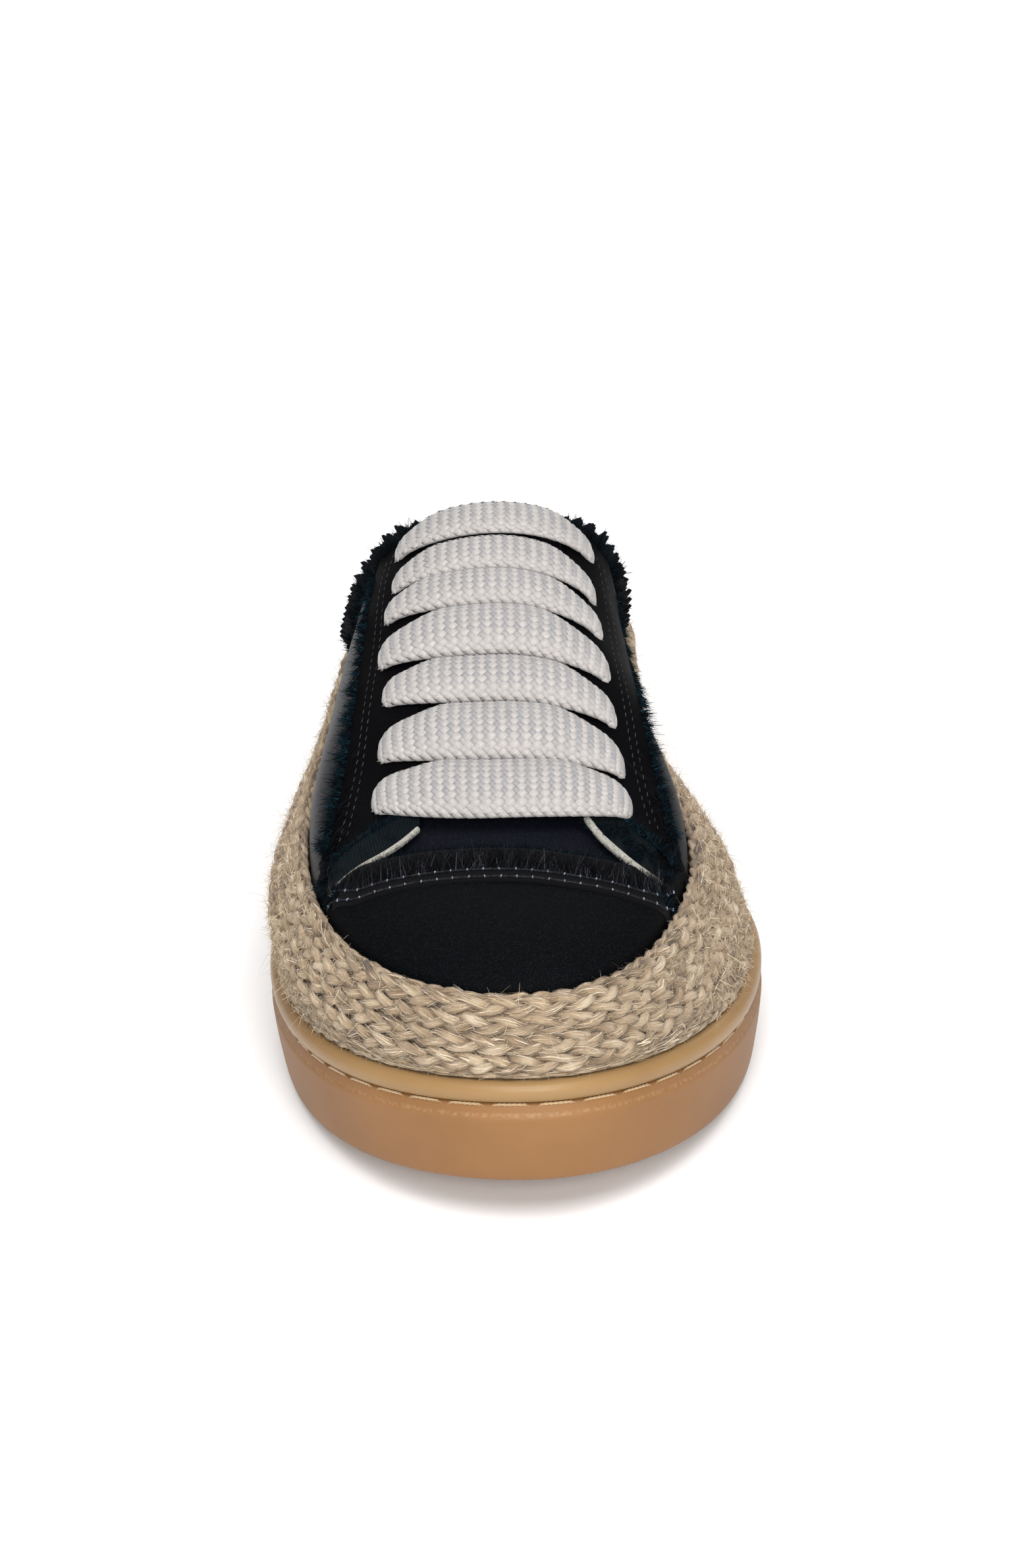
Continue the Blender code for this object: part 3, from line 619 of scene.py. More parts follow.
def tread_sheet(inset):
    """Underside with its cross grooves, as a grid between the two edges."""
    rows, cols, depth, border, pitch = 260, 30, 1.5, 8.0, 7.5
    s = np.linspace(inset + 0.02, LENGTH - inset - 0.02, rows)
    left, right = half_width(LATERAL, s, inset), half_width(MEDIAL, s, inset)
    x = left[:, None] + (right - left)[:, None] * np.linspace(0, 1, cols)
    z = tread_z(s)[:, None] + 0 * x
    for start, grooves, pad in ((38.0, 9, 0.0), (192.0, 8, 13.0)):
        for at in start + pitch * np.arange(grooves):
            low, high = half_width(LATERAL, at, border), half_width(MEDIAL, at, border)
            inside = smooth(np.minimum(x - low, high - x) / 0.8)
            inside = inside * smooth((np.abs(x) - pad) / 0.8 if pad else 1.0)
            z = z + depth * inside * smooth((1.5 - np.abs(s - at))[:, None] / 0.6)
    verts = np.stack([x, s[:, None] + 0 * x, z], -1)
    return verts.reshape(-1, 3), grid_faces(rows, cols, flip=True)


def make_stitches():
    """Stitches of two-ply thread along the sole's ledge."""
    n = Nodes("stitch_thread", 0.6, Sheen_Weight=0.3)
    n.set(n.shader, Base_Color=n.shades(
        n.attribute("tone"), [(0.0, (120, 82, 46)), (0.6, (146, 110, 68)), (1.0, (182, 154, 114))]))
    thread = n.material
    samples, steps, pitch = 6400, 20, 8.1
    _, length, (path,) = spaced(ring(0.98, lambda s: toe_lift(s) + 15.74), samples, closed=True)
    count = round(length / pitch)
    at = (np.arange(count)[:, None] + np.linspace(0.05, 0.95, steps)[None]) / count
    index = (at * samples).astype(int) % samples
    centre = path[index]
    tangent = unit(path[(index + 8) % samples] - path[index - 8])
    out = unit(np.cross(tangent, [0, 0, 1.0]))
    up = np.cross(out, tangent)
    t = np.linspace(0, 1, steps)[None]
    dip = -0.75 * (np.abs(2 * t - 1) ** 8)
    parts, tones = [], []
    for ply in (0, math.pi):
        turn = t * TAU * 4.2 + ply
        spread = 0.14 * np.minimum(1, 6 * np.minimum(t, 1 - t) + 0.2)
        p = centre + (spread * np.cos(turn))[..., None] * out + (spread * np.sin(turn) + dip)[..., None] * up
        v, f = tubes(p, np.broadcast_to(out, p.shape), 0.16, 0.16, 4)
        parts.append((v, f))
        # Tone: each stitch painted darker toward its ends, where it dips into the groove: painted shade.
        tones.append(np.broadcast_to((1 - np.abs(2 * t - 1) ** 6)[..., None], v.shape[:3]).reshape(-1))
    build_joined("sole_stitches", parts, [thread], tones=tones, slot="gum_rubber")


def braid_ring(row, share, sunk=0.0, density=FINE):
    """A loop round the braid's face, at a share of a row, sunk into it by some millimetres."""
    height = lambda s: braid_point(s, row, share)[1]
    inset = lambda s: braid_point(s, row, share)[0] + sunk
    return ring(inset, height, lambda s: braid_shift(s, height(s)), density)


def braid_row(row, points):
    """One row's centre line, its tangent, outward and downward directions, widths, length, distances."""
    loops = (braid_ring(row, share) for share in (0.0, 0.5, 1.0))
    top, mid, low = (np.roll(loop, sum(FINE), axis=0) for loop in loops)
    at, length, (mid, top, low) = spaced(mid, points, top, low, closed=True)
    tangent = unit(np.roll(mid, -1, 0) - np.roll(mid, 1, 0))
    down = low - top
    width = np.linalg.norm(down, axis=1)
    down = unit(down)
    out = unit(np.cross(tangent, down))
    centre = mid.mean(0)
    flip = np.sign(np.sum(out * (mid - centre) * [1, 1, 0], 1))
    out = out * np.sign(flip.sum())
    return mid, tangent, out, down, width, length, at


def braid_strand(row, strand, spacing):
    """One strand of a plaited row: centre line, outward direction, radii, distance along it, and how it rides
    over (1) or dips under (-1) its neighbours.
    """
    points = int(braid_row(row, 400)[5] / spacing)
    mid, _, out, down, width, length, at = braid_row(row, points)
    mark = row * 3 + strand
    turn = at / length * TAU * round(length / PLAIT) + strand * TAU / 3 + row * 1.9
    turn = turn + 0.45 * wander(at, 40, row)
    sway = width * (0.35 + 0.04 * wander(at, 9, mark))
    path = mid + down * (sway * np.sin(turn))[:, None]
    path = path + out * (width * (0.03 + 0.23 * np.sin(2 * turn)) + 0.15 * wander(at, 7, 50 + mark))[:, None]
    plump = 0.96 + 0.16 * wander(at, 6, 90 + mark) + 0.12 * np.abs(np.cos(turn))
    return path, out, 0.27 * width * plump, 0.24 * width * plump, at, np.sin(2 * turn)


def strand_uv(at, offset, around):
    """UV map of one strand: distance along it and, with a twist, round it."""
    uv = np.stack(np.broadcast_arrays(at[:, None] + offset, around + (at * 0.30)[:, None]), -1)
    return uv.reshape(-1, 2)


def make_jute():
    """The braid: a dark core, its colour painted shade between the strands, plaited rows of three strands, a
    twisted rim and fibres lying on them.
    """
    core = [ring(rim_inset, height, lean, COARSE) for height in (floor_z, lambda s: rim_z(s) - 0.5)]
    for row in range(TOP_ROWS + LOWER_ROWS):
        core += [braid_ring(row, share, sunk, COARSE) for share, sunk in ((0.0, 0.75), (0.5, 0.3))]
    core.append(ring(JUTE_FOOT_INSET + 0.6, lambda s: BAND_TOP_Z - 2.0 + toe_lift(s), None, COARSE))
    # The core's dark colour is painted shade, showing in the gaps between the strands.
    shade = cloudy_material("jute_core", 0.95, 0.9, 4.0, (0.3, (58, 44, 30)), (0.7, (98, 78, 56)))
    faces = grid_faces(len(core), len(core[0]), wrap=True, flip=True)
    build("braid_core", np.concatenate(core), faces, [shade], replaces=("jute_midsole",), slot="jute")
    fibres = []
    sides = 6
    for name, rows, spacing, loose in (
        ("braid_upper_rows", range(4), 1.15, 900), ("braid_lower_rows", range(4, 7), 1.5, 700),
    ):
        parts, uvs, tones = [], [], []
        for row in rows:
            for strand in range(3):
                path, out, wide, thick, at, rise = braid_strand(row, strand, spacing)
                ply = np.arange(sides)[None] * TAU / sides
                shape = 1 + 0.11 * np.sin(3 * ply + (at * TAU / 5.0)[:, None]) * np.ones((len(at), 1))
                parts.append(tubes(path, out, wide, thick, sides, closed=True, shape=shape))
                uvs.append(strand_uv(at, 100 * strand, ply * 0.9))
                # Tone: random along the strand, plus painted shade: darker where the strand dips under its
                # neighbours, lighter where it rides over.
                tones.append(np.repeat(0.6 * wander(at, 11, 20 + row * 3 + strand) + 0.45 * rise, sides))
                fibres.append(lying_fibres(path, out, wide, thick, loose, spacing))
        build_joined(name, parts, [JUTE], uvs, tones, slot="jute")
    points = 760
    rim = ring(lambda s: rim_inset(s) - 0.62, lambda s: rim_z(s) - 0.45, lean)
    at, total, (rim,) = spaced(rim, points, closed=True)
    tangent = unit(np.roll(rim, -1, 0) - np.roll(rim, 1, 0))
    up = np.broadcast_to([0.0, 0.0, 1.0], rim.shape)
    side = np.cross(tangent, up)
    parts, uvs, tones = [], [], []
    for strand in range(2):
        turn = at / total * TAU * round(total / 8.0) + strand * math.pi + 0.5 * wander(at, 30, 3)
        rise = 0.42 * np.sin(turn) + 0.15 * wander(at, 8, strand)
        path = rim + side * (0.34 * np.cos(turn))[:, None] + up * rise[:, None]
        size = 0.60 + 0.10 * wander(at, 5, 60 + strand)
        parts.append(tubes(path, up, size, size, sides, closed=True))
        uvs.append(strand_uv(at, 50 * strand, np.arange(sides)[None] * 0.6))
        tones.append(np.repeat(0.5 * wander(at, 11, 70 + strand), sides))
        fibres.append(lying_fibres(path, up, size, size, 700, total / points))
    build_joined("braid_rim", parts, [JUTE], uvs, tones, slot="jute")
    verts, faces = merge(fibres)
    tone = np.repeat(RNG.uniform(0, 1, len(verts) // 6), 6)
    build("braid_fibres", verts, faces, [STRAW], tone=tone, slot="jute")


def lying_fibres(path, out, wide, thick, count, spacing):
    """Flat bundles of fibre that follow a strand's face, some with an end lifted off."""
    n = len(path)
    front = 0.6 + 2.4 * (1 - smooth((path[:, 1] - 15) / 45))
    base = RNG.choice(n, count, p=front / front.sum())
    k = np.linspace(0, 1, 3)[None]
    at = (base[:, None] + RNG.uniform(1.4, 4.2, count)[:, None] / spacing * k).astype(int) % n
    phi = RNG.uniform(-1.4, 1.4, count)[:, None] + RNG.normal(0, 0.3, count)[:, None] * k
    tangent = unit(np.roll(path, -1, 0) - np.roll(path, 1, 0))
    side = unit(np.cross(tangent, out))
    up = np.cross(side, tangent)
    stray = np.where(RNG.random(count) < 0.3, RNG.uniform(0.2, 0.9, count), 0.0)[:, None]
    stand = 1.05 + RNG.uniform(0, 0.10, count)[:, None] + stray * k ** 3
    radial = np.sin(phi)[..., None] * side[at] + np.cos(phi)[..., None] * up[at]
    p = path[at] + (wide[at] * np.sin(phi) * stand)[..., None] * side[at]
    p = p + (thick[at] * np.cos(phi) * stand)[..., None] * up[at]
    flat = unit(np.cross(np.gradient(p, axis=1), radial))
    half = RNG.uniform(0.02, 0.07, count)[:, None] * (1 - 0.6 * np.abs(2 * k - 1) ** 2)
    verts = np.stack([p - flat * half[..., None], p + flat * half[..., None]], 2)
    return verts.reshape(-1, 3), strips(count, 2)


def make_jute_hairs(count=33000):
    """Loose fibres, dense on the flanks, long and sparse round the toe."""
    roots, aims, bends, lengths, widths = [], [], [], [], []
    points, rows = 2600, TOP_ROWS + LOWER_ROWS
    n = count // rows
    for row in range(rows):
        mid, tangent, out, down, width, _, _ = braid_row(row, points)
        s = mid[:, 1]
        flank = smooth((s - 14.0) / 42.0)
        weight = (0.85 + flank * (2.6 - 1.9 * smooth((s - 80) / 50))) * np.clip(width / 3.0, 0, 1)
        pick = RNG.choice(points, n, p=weight / weight.sum())
        lowest = 0.72 if row == rows - 1 else 0.5
        root = mid[pick] + down[pick] * (width[pick] * RNG.uniform(-0.5, lowest, n))[:, None]
        root = root + out[pick] * (width[pick] * RNG.uniform(0.15, 0.42, n))[:, None]
        f = flank[pick]
        lie = RNG.normal(0, 1 - 0.3 * f, n)[:, None] * tangent[pick]
        lie = lie + RNG.normal(0, 0.8 + 0.3 * f, n)[:, None] * down[pick]
        aim = unit(lie) * RNG.uniform(0.5, 1.0, n)[:, None]
        aims.append(unit(aim + out[pick] * RNG.uniform(0.05, 0.75, n)[:, None]))
        bend = unit(RNG.normal(0, 1, (n, 3))) * 0.55
        bends.append(bend - out[pick] * RNG.uniform(0.0, 0.6, n)[:, None])
        roots.append(root)
        long = RNG.random(n) < (0.07 if row else 0.0) * (1 - 0.7 * f)
        lengths.append(np.where(long, RNG.uniform(3.5, 8.0, n), RNG.uniform(1.1, 3.4 - 0.9 * f, n)))
        widths.append(np.where(long, 0.06, RNG.uniform(0.045, 0.08 + 0.07 * f, n)))
    roots, aims, bends = (np.concatenate(v) for v in (roots, aims, bends))
    verts, faces = ribbons(roots, aims, bends, np.concatenate(lengths), np.concatenate(widths), 2)
    tone = np.repeat(RNG.uniform(0, 1, len(roots)), 6)
    build("braid_hairs", verts, faces, [STRAW], tone=tone, slot="jute")


# ----------------------------------------------------------------------------------- lace
BRAID = 1.08                    # half of the braid's repeat, along and across the lace
BRAID_PITCH = 0.86              # row of floats to row of floats across the lace
LACE_THICK = 1.1                # half thickness of its edges
LACE_PAST = 1.7                 # how far a bar runs past its end points


def rounded(turn):
    """Across and up on the lace's section, an oval with fuller corners."""
    cx, cz = -np.cos(turn), np.sin(turn)
    return np.sign(cx) * np.abs(cx) ** 0.8, np.sign(cz) * np.abs(cz) ** 0.8


def lace_table():
    """Turn round the nominal section against the distance over its face, front edge 0."""
    turn = np.linspace(-0.5 * math.pi, 1.5 * math.pi, 720)
    cx, cz = rounded(turn)
    run = np.concatenate([[0], np.cumsum(np.hypot(np.diff(cx * LACE_HALF), np.diff(cz * LACE_THICK)))])
    front, back = np.interp([0.0, math.pi], turn, run)
    return (run - front) / (back - front), turn


LACE_RUN, LACE_TURN = lace_table()


def lace_length(bar):
    """A bar reaches as far past its lateral as past its medial point."""
    return bar[3] - bar[0] + 2 * LACE_PAST


def lace_point(bar, u, v, inward=0.0):
    """Point on a bar. u in mm from the lateral end, v across the top, 0 front and 1 back."""
    left_x, left_s, middle, _, right_s, lift, share, crown = bar
    length = lace_length(bar)
    x = left_x - LACE_PAST + u
    q = 2 * u / length - 1
    s_mid = middle + (np.where(q < 0, left_s, right_s) - middle) * q * q
    edge = np.minimum(u, length - u)
    full = 0.5 * arc(edge / share ** 2 / 4.9, 2.0) + 0.5 * smooth(edge / share / 14.5)
    half = LACE_HALF * share * (0.20 + 0.80 * full)
    s_mid = s_mid - (LACE_HALF - half) * 0.72
    half = half * (0.45 + 0.55 * arc(edge / 1.8, 2.0))
    thick = LACE_THICK * (0.55 + 0.45 * arc((edge + 0.5) / 7.0, 2.0))
    low = 0.7 - 2.1 * (1 - arc(edge / 4.0, 2.0))
    cx, cz = rounded(np.interp(v, LACE_RUN, LACE_TURN))
    a, b = (half - inward) * cx, (thick - inward) * cz
    b = b + crown * full * (1 - cx * cx) * (cz > 0)
    slope = (upper_z(s_mid + 1, x) - upper_z(s_mid - 1, x)) / 2
    s = s_mid + a / np.hypot(1.0, slope)
    point, normal, _, _ = upper_frame(x, s)
    height = low + thick + b - lift * a / LACE_HALF
    return point + normal * height[..., None]


def lace_bar(bar, seed):
    """A flat plain braid: two families of strands that cross, one over and one under."""
    rng = np.random.default_rng(seed)
    length = lace_length(bar)
    last = 2 * int(LACE_HALF * bar[6] / BRAID_PITCH) + 1
    rows = np.arange(-4, 3 * last + 5) / 3
    parts, tones, uvs = [], [], []
    for family in (1, -1):
        first = -int((last + 3) / 2) - 1 if family > 0 else -1
        starts = np.arange(first, first + int(length / BRAID / 2) + last // 2 + 5) * 2 * BRAID
        u = starts[:, None] + family * rows[None] * BRAID
        v = np.broadcast_to(rows[None] / last, u.shape)
        over = -family * np.cos(math.pi * rows)
        over = np.where(rows < 0.0, -float(family), over)
        over = np.where(rows > last, float(family), over)
        over = np.tanh(1.5 * over) / math.tanh(1.5)
        u = u + 0.05 * np.sin(v * 9 + starts[:, None])
        inside = (u > 0.0) & (u < length)
        at = np.clip(u, 0.0, length)
        p = lace_point(bar, at, v)
        e = 0.2                 # step along the bar for the slopes; across it is a sixteenth
        pu = lace_point(bar, at + e, v) - lace_point(bar, at - e, v)
        pv = lace_point(bar, at, v + e / 16) - lace_point(bar, at, v - e / 16)
        normal = unit(np.cross(pu, pv))
        tangent = unit(pu * (family * BRAID / 2 / e) + pv * (8 / e / last))
        side = np.cross(normal, tangent)
        squeeze = np.clip(np.linalg.norm(pv, axis=-1) * 8 / e / last / BRAID_PITCH, 0.2, 1.1)
        wide = ((0.80 if family > 0 else 0.60) + 0.03 * over) * np.sqrt(0.5 + 0.5 * squeeze ** 2)
        first_row = (1.0 - np.clip(rows, 0, 1)) * (family > 0)
        under = np.where(rows < 1.0, first_row, (rows > last - 1) * (family < 0))
        depth = -0.46 + 0.21 * over - 0.3 * under
        bow = 1.25              # half of the arc that a strand's face spans
        phi = np.array([-bow, -0.62, 0.0, 0.62, bow])
        across = np.sin(phi) / math.sin(bow)
        rise = 0.40 * (np.cos(phi) - math.cos(bow))
        verts = (
            p[:, :, None]
            + side[:, :, None] * (wide[..., None] * across)[..., None]
            + normal[:, :, None] * (depth[None, :, None] + rise)[..., None]
        )
        m, n, k = verts.shape[:3]
        face = grid_faces(n, k)
        ok = (inside[:, :-1] & inside[:, 1:]).repeat(k - 1, axis=1)
        faces = (face[None] + (np.arange(m) * n * k)[:, None, None])[ok]
        # Painted sheen: the first family's floats catch the light and are lighter, the other's are darker,
        # becoming nearly as light within a few rows of the front edge.
        tone = rng.uniform(-0.06, 0.06, m)[:, None] + (0.80 if family > 0 else 0.25)
        if family < 0:
            tone = tone + 0.12 + 0.35 * (1 - smooth((rows[None] - 1.0) / 5.0))
        tones.append(np.repeat((tone + 0 * u).reshape(-1), k))
        run = (rows * BRAID * 1.41)[None, :, None] + 40.0 * np.arange(m)[:, None, None]
        uvs.append(np.stack(np.broadcast_arrays(run, phi * 0.7), -1).reshape(-1, 2))
        parts.append((verts, faces))
    rows, cols = 50, 30
    u, v = np.meshgrid(np.linspace(0, length, rows), np.linspace(-0.5, 1.5, cols), indexing="ij")
    core = grid_faces(rows, cols)
    parts.append((lace_point(bar, u, v, 0.52), core))
    tones.append(np.zeros(rows * cols))
    uvs.append(np.zeros((rows * cols, 2)))
    picks = np.repeat([0, 0, 1], [len(faces) for _, faces in parts])
    return parts, uvs, tones, picks


def make_lace():
    """The seven bars. Their table starts at the toe, and their names count from the collar."""
    n = Nodes("lace_yarn", 0.5, Specular_IOR_Level=0.35, Sheen_Weight=0.3, Sheen_Roughness=0.4)
    tone = n.attribute("tone")
    thread = n.noise(n.where(uv=True, scale=(0.10, 1.0, 1.0)), 7.0, 3.0, 0.6)
    # The tone ramp turns the floats' painted sheen into colour.
    colour = n.shades(tone, [
        (0.0, (118, 118, 120)), (0.30, (141, 140, 142)), (0.55, (158, 155, 153)), (0.85, (176, 171, 167))])
    fleck = n.shades(thread, [(0.30, (205, 203, 203)), (0.62, (255, 255, 255))])
    n.set(n.shader, Base_Color=n.mix(0.75, colour, fleck, "MULTIPLY"))
    n.bump(thread, 0.07, 0.8)
    core = cloudy_material("lace_core", 0.9, 2.0, 3.0, (0.3, (84, 82, 84)), (0.7, (112, 110, 112)))
    for i, bar in enumerate(BARS):
        parts, uvs, tones, picks = lace_bar(bar + LACE_SET[i], i)
        build_joined(f"lace_bar_{7 - i}", parts, [n.material, core], uvs, tones, picks=picks,
                     replaces=("lace",) if i == 0 else (), slot="grey_cotton")


# -------------------------------------------------------------------------- upper surfaces
def satin_material(name, colour, speck, roughness, specular, sheen=0.0, tint=(150, 150, 170)):
    n = Nodes(name, roughness, Specular_IOR_Level=specular, Sheen_Weight=sheen, Sheen_Roughness=0.4)
    n.set(n.shader, Sheen_Tint=(*srgb(*tint), 1.0))
    at = n.where()
    points = n.noise(at, 5.2, 2.0, 0.7)
    cloud = n.noise(at, 0.07, 3.0)
    # The lighter specks from the speck colour are painted glints off the weave.
    base = n.shades(points, [(0.56, colour), (0.72, speck)])
    base = n.mix(n.math("MULTIPLY", cloud, 0.35), base, srgb(*(v * 2.0 for v in colour)))
    n.set(n.shader, Base_Color=base)
    n.bump(n.weighted((points, 0.6), (n.noise(at, 0.5, 3.0), 1.0)), 0.08, 0.7)
    return n.material


def weave_material(name, low, high, pitch):
    """Plain weave: two crossed waves in the UV map's millimetres."""
    n = Nodes(name, 0.8, Specular_IOR_Level=0.06, Sheen_Weight=0.02)
    axes = n.add("ShaderNodeSeparateXYZ", Vector=n.where(uv=True)).outputs
    k = TAU / pitch / 2
    warp = n.math("SINE", n.math("MULTIPLY", axes[0], k))
    weft = n.math("SINE", n.math("MULTIPLY", axes[1], k))
    cell = n.math("ABSOLUTE", n.math("MULTIPLY", warp, weft))
    wild = n.noise(n.where(), 1.4, 3.0)
    value = n.weighted((cell, 0.7), (wild, 0.3))
    n.set(n.shader, Base_Color=n.shades(value, [(0.15, low), (0.75, high)]))
    n.bump(value, 0.12, 0.9)
    return n.material


SATIN = satin_material("vamp_satin", (6, 7, 8), (40, 42, 47), 0.6, 0.012)
QUARTER = satin_material("quarter_satin", (9, 9, 12), (30, 30, 36), 0.45, 0.17, 0.04, (150, 145, 165))
# A shaded copy of the quarter satin for the medial side: painted shade, a little darker and less glossy,
# standing in for less light on that side.
MEDIAL_SHADED_QUARTER = satin_material(
    "medial_shaded_quarter_satin", (8, 8, 11), (30, 30, 36), 0.5, 0.07, 0.02, (150, 145, 165),
)
FACING = satin_material("facing_satin", (4, 4, 5), (20, 21, 25), 0.55, 0.02)
TONGUE_SATIN = satin_material("tongue_satin", (8, 9, 14), (46, 51, 66), 0.55, 0.12, 0.03, (90, 105, 150))
LINING = weave_material("lining_cloth", (16, 16, 18), (38, 38, 41), 0.7)
TEAL = weave_material("flap_weave", (0, 1, 2), (10, 22, 26), 0.6)
FRINGE = weave_material("fringe_cloth", (2, 2, 3), (10, 10, 13), 0.5)
FRAYED = weave_material("frayed_cloth", (1, 2, 4), (8, 16, 22), 0.5)
THREADS = hair_material(
    "black_threads",
    [(0.0, (2, 2, 3)), (0.6, (14, 15, 18)), (0.9, (40, 41, 46)), (1.0, (78, 78, 84))],
    roughness=0.5, sheen=0.0,
)
FLUFF = hair_material(
    "teal_fluff",
    [(0.0, (1, 2, 4)), (0.4, (4, 10, 16)), (0.75, (8, 29, 37)), (1.0, (18, 52, 62))],
    roughness=0.8, sheen=0.0,
)


def edge_x(s, z, side):
    """The outer face's x at a station and height."""
    base = rim_z(s)
    share = np.clip((z - base) / (spline(INSTEP, s) - base), 0, 1)
    power = spline(FULLNESS_MEDIAL if side > 0 else FULLNESS_LATERAL, s)
    c = np.sqrt(np.clip(1 - share ** (2 / power), 0, 1))
    ridge = spline(RIDGE, s)
    return ridge + c * (upper_edges(s)[1 if side > 0 else 0] - ridge)


def collar_station(z):
    """Station of the collar's cut edge at a height."""
    return spline([(height, s) for s, height in COLLAR[::-1]], z)


def fold(x, s):
    """Soft hollows and swells of the cloth, in mm off the plain form."""
    lateral = smooth((-x - 22) / 10) * smooth((s - 62) / 15)
    medial = smooth((x - 22) / 8) * smooth((s - 66) / 15)
    ripple = np.sin(s / 8.5 + x / 5.0 + 0.6) * 0.30 + np.sin(s / 4.7 - x / 7.0) * 0.13
    toe = 0.12 * np.sin(x / 6.5 + s / 9.0) * smooth((s - 20) / 15) * (1 - smooth((s - 48) / 8))
    return lateral * ripple + medial * ripple * 0.7 + toe


def make_upper():
    """The shell, with the collar and the throat cut out of it."""
    s = np.concatenate([np.linspace(9.9, 40, 32), np.linspace(41, 190, 150)])
    turn, steps = np.linspace(0, math.pi, 90), 5
    ridge, (left, right) = spline(RIDGE, s)[:, None], upper_edges(s)
    c = np.cos(turn)[None]
    x = ridge + np.abs(c) * np.where(c > 0, left[:, None] - ridge, right[:, None] - ridge)
    point, normal, _, _ = upper_frame(x, s[:, None] + 0 * x)
    point[:, 0], point[:, -1] = point[:, 1], point[:, -2]
    point = point + normal * (fold(x, s[:, None] + 0 * x) * np.sin(turn) ** 1.5)[..., None]
    point[:, :, 0] = np.clip(point[:, :, 0], left[:, None], right[:, None])
    point, in_front = cut_at_collar(point)
    drop = np.linspace(0.0, 1.0, steps)[None]
    low = rim_z(s)[:, None] + (floor_z(s) + 2 - rim_z(s))[:, None] * drop
    skirt = lambda edge: np.stack(np.broadcast_arrays(edge[:, None], s[:, None], low), -1)
    verts = np.concatenate([skirt(left)[:, ::-1], point, skirt(right)], 1)
    rows, cols = verts.shape[:2]
    faces = grid_faces(rows, cols)
    mid = verts.reshape(-1, 3)[faces].mean(1)
    shell = np.full((rows - 1, cols - 1), True)
    shell[:, steps:-steps] = in_front
    shell[:, :steps] = shell[:, -steps:] = s[1:, None] < UPPER_END
    keep = ~in_throat(mid[:, 0], mid[:, 1]) & shell.ravel()
    # The medial quarter takes the shaded copy of the quarter satin.
    picks = np.where(mid[:, 1] > 58, np.where(mid[:, 0] < 0, 1, 2), 0)
    cloths = [SATIN, QUARTER, MEDIAL_SHADED_QUARTER, LINING]
    piece = build("upper_satin", verts, faces[keep], cloths, picks=picks[keep], replaces=("upper",),
                  slot="black_satin")
    weld = piece.modifiers.new("weld", "WELD")
    weld.merge_threshold = 0.00001
    thicken(piece, 1.7, inner_material=3)


def cut_at_collar(point):
    """Draws every lengthwise line of the shell's grid back to the collar; also which faces stay."""
    past = point[..., 1] - collar_station(point[..., 2])
    point = point.copy()
    rows = len(past)
    last = np.where((past > 0).any(0), np.argmax(past > 0, axis=0), rows - 1)
    for col in np.flatnonzero(last < rows - 1):
        row = max(last[col], 1)
        share = past[row - 1, col] / (past[row - 1, col] - past[row, col])
        edge = point[row - 1, col] + (point[row, col] - point[row - 1, col]) * np.clip(share, 0, 1)
        point[row:, col] = edge
    reach = np.maximum(last[1:], last[:-1])
    return point, np.arange(rows - 1)[:, None] < reach[None]


def in_throat(x, s):
    """Inside the opening of the throat, in plan."""
    front = s > spline(SEAM, x) + 1.5
    flap = np.where(x < THROAT_X, edge_station(FLAP_LATERAL, x), edge_station(FLAP_MEDIAL, x))
    inner = np.abs(x - THROAT_X) < THROAT_HALF
    behind = (s < flap) & (x > FLAP_LATERAL[-1][0]) & (x < FLAP_MEDIAL[-1][0])
    return front & (inner | behind)


def sheet(name, x, s, lift, material, thickness, **options):
    """A layer of cloth over the upper: x and s are grids, lift is its height off the face."""
    point, normal, _, _ = upper_frame(x, s)
    verts = point + normal * np.broadcast_to(lift, x.shape)[..., None]
    d_s = np.linalg.norm(np.diff(verts, axis=0, prepend=verts[:1]), axis=-1)
    d_x = np.linalg.norm(np.diff(verts, axis=1, prepend=verts[:, :1]), axis=-1)
    uv = np.stack([np.cumsum(d_x, 1), np.cumsum(d_s, 0)], -1)
    thicken(build(name, verts, grid_faces(*x.shape), [material], uv=uv, **options), thickness)


def make_tongue():
    """The satin sheet under the lace, with soft folds."""
    t = np.linspace(-1, 1, 40)[None]
    s = np.linspace(40.0, 140.5, 100)[:, None]
    half = spline(TONGUE, s)
    x = THROAT_X + half * t + 0 * s
    s = s + 0 * x
    ripple = 0.35 * np.sin(s / 7 + x / 9) * smooth((s - 46) / 10)
    raised = 1.0 * smooth((s - 120) / 14) * smooth((THROAT_HALF - 1.0 - np.abs(x - THROAT_X)) / 5)
    sheet("tongue_satin", x, s, ripple + raised - WALL - GAP, TONGUE_SATIN, 1.6, replaces=("tongue",),
          slot="black_satin")


def stay_x(s, side):
    return THROAT_X + side * spline(STAY, s)


def facing_lift(x, s, side):
    """Height of a facing's cloth over the upper, with its soft puckers."""
    t = np.clip((side * (x - THROAT_X) - THROAT_HALF) / (spline(STAY, s) - 1.2 - THROAT_HALF), 0, 1)
    return 1.1 + 0.35 * np.sin(s / 6.3 + x / 4) * smooth((s - 60) / 8) * t * (1 - t) * 4


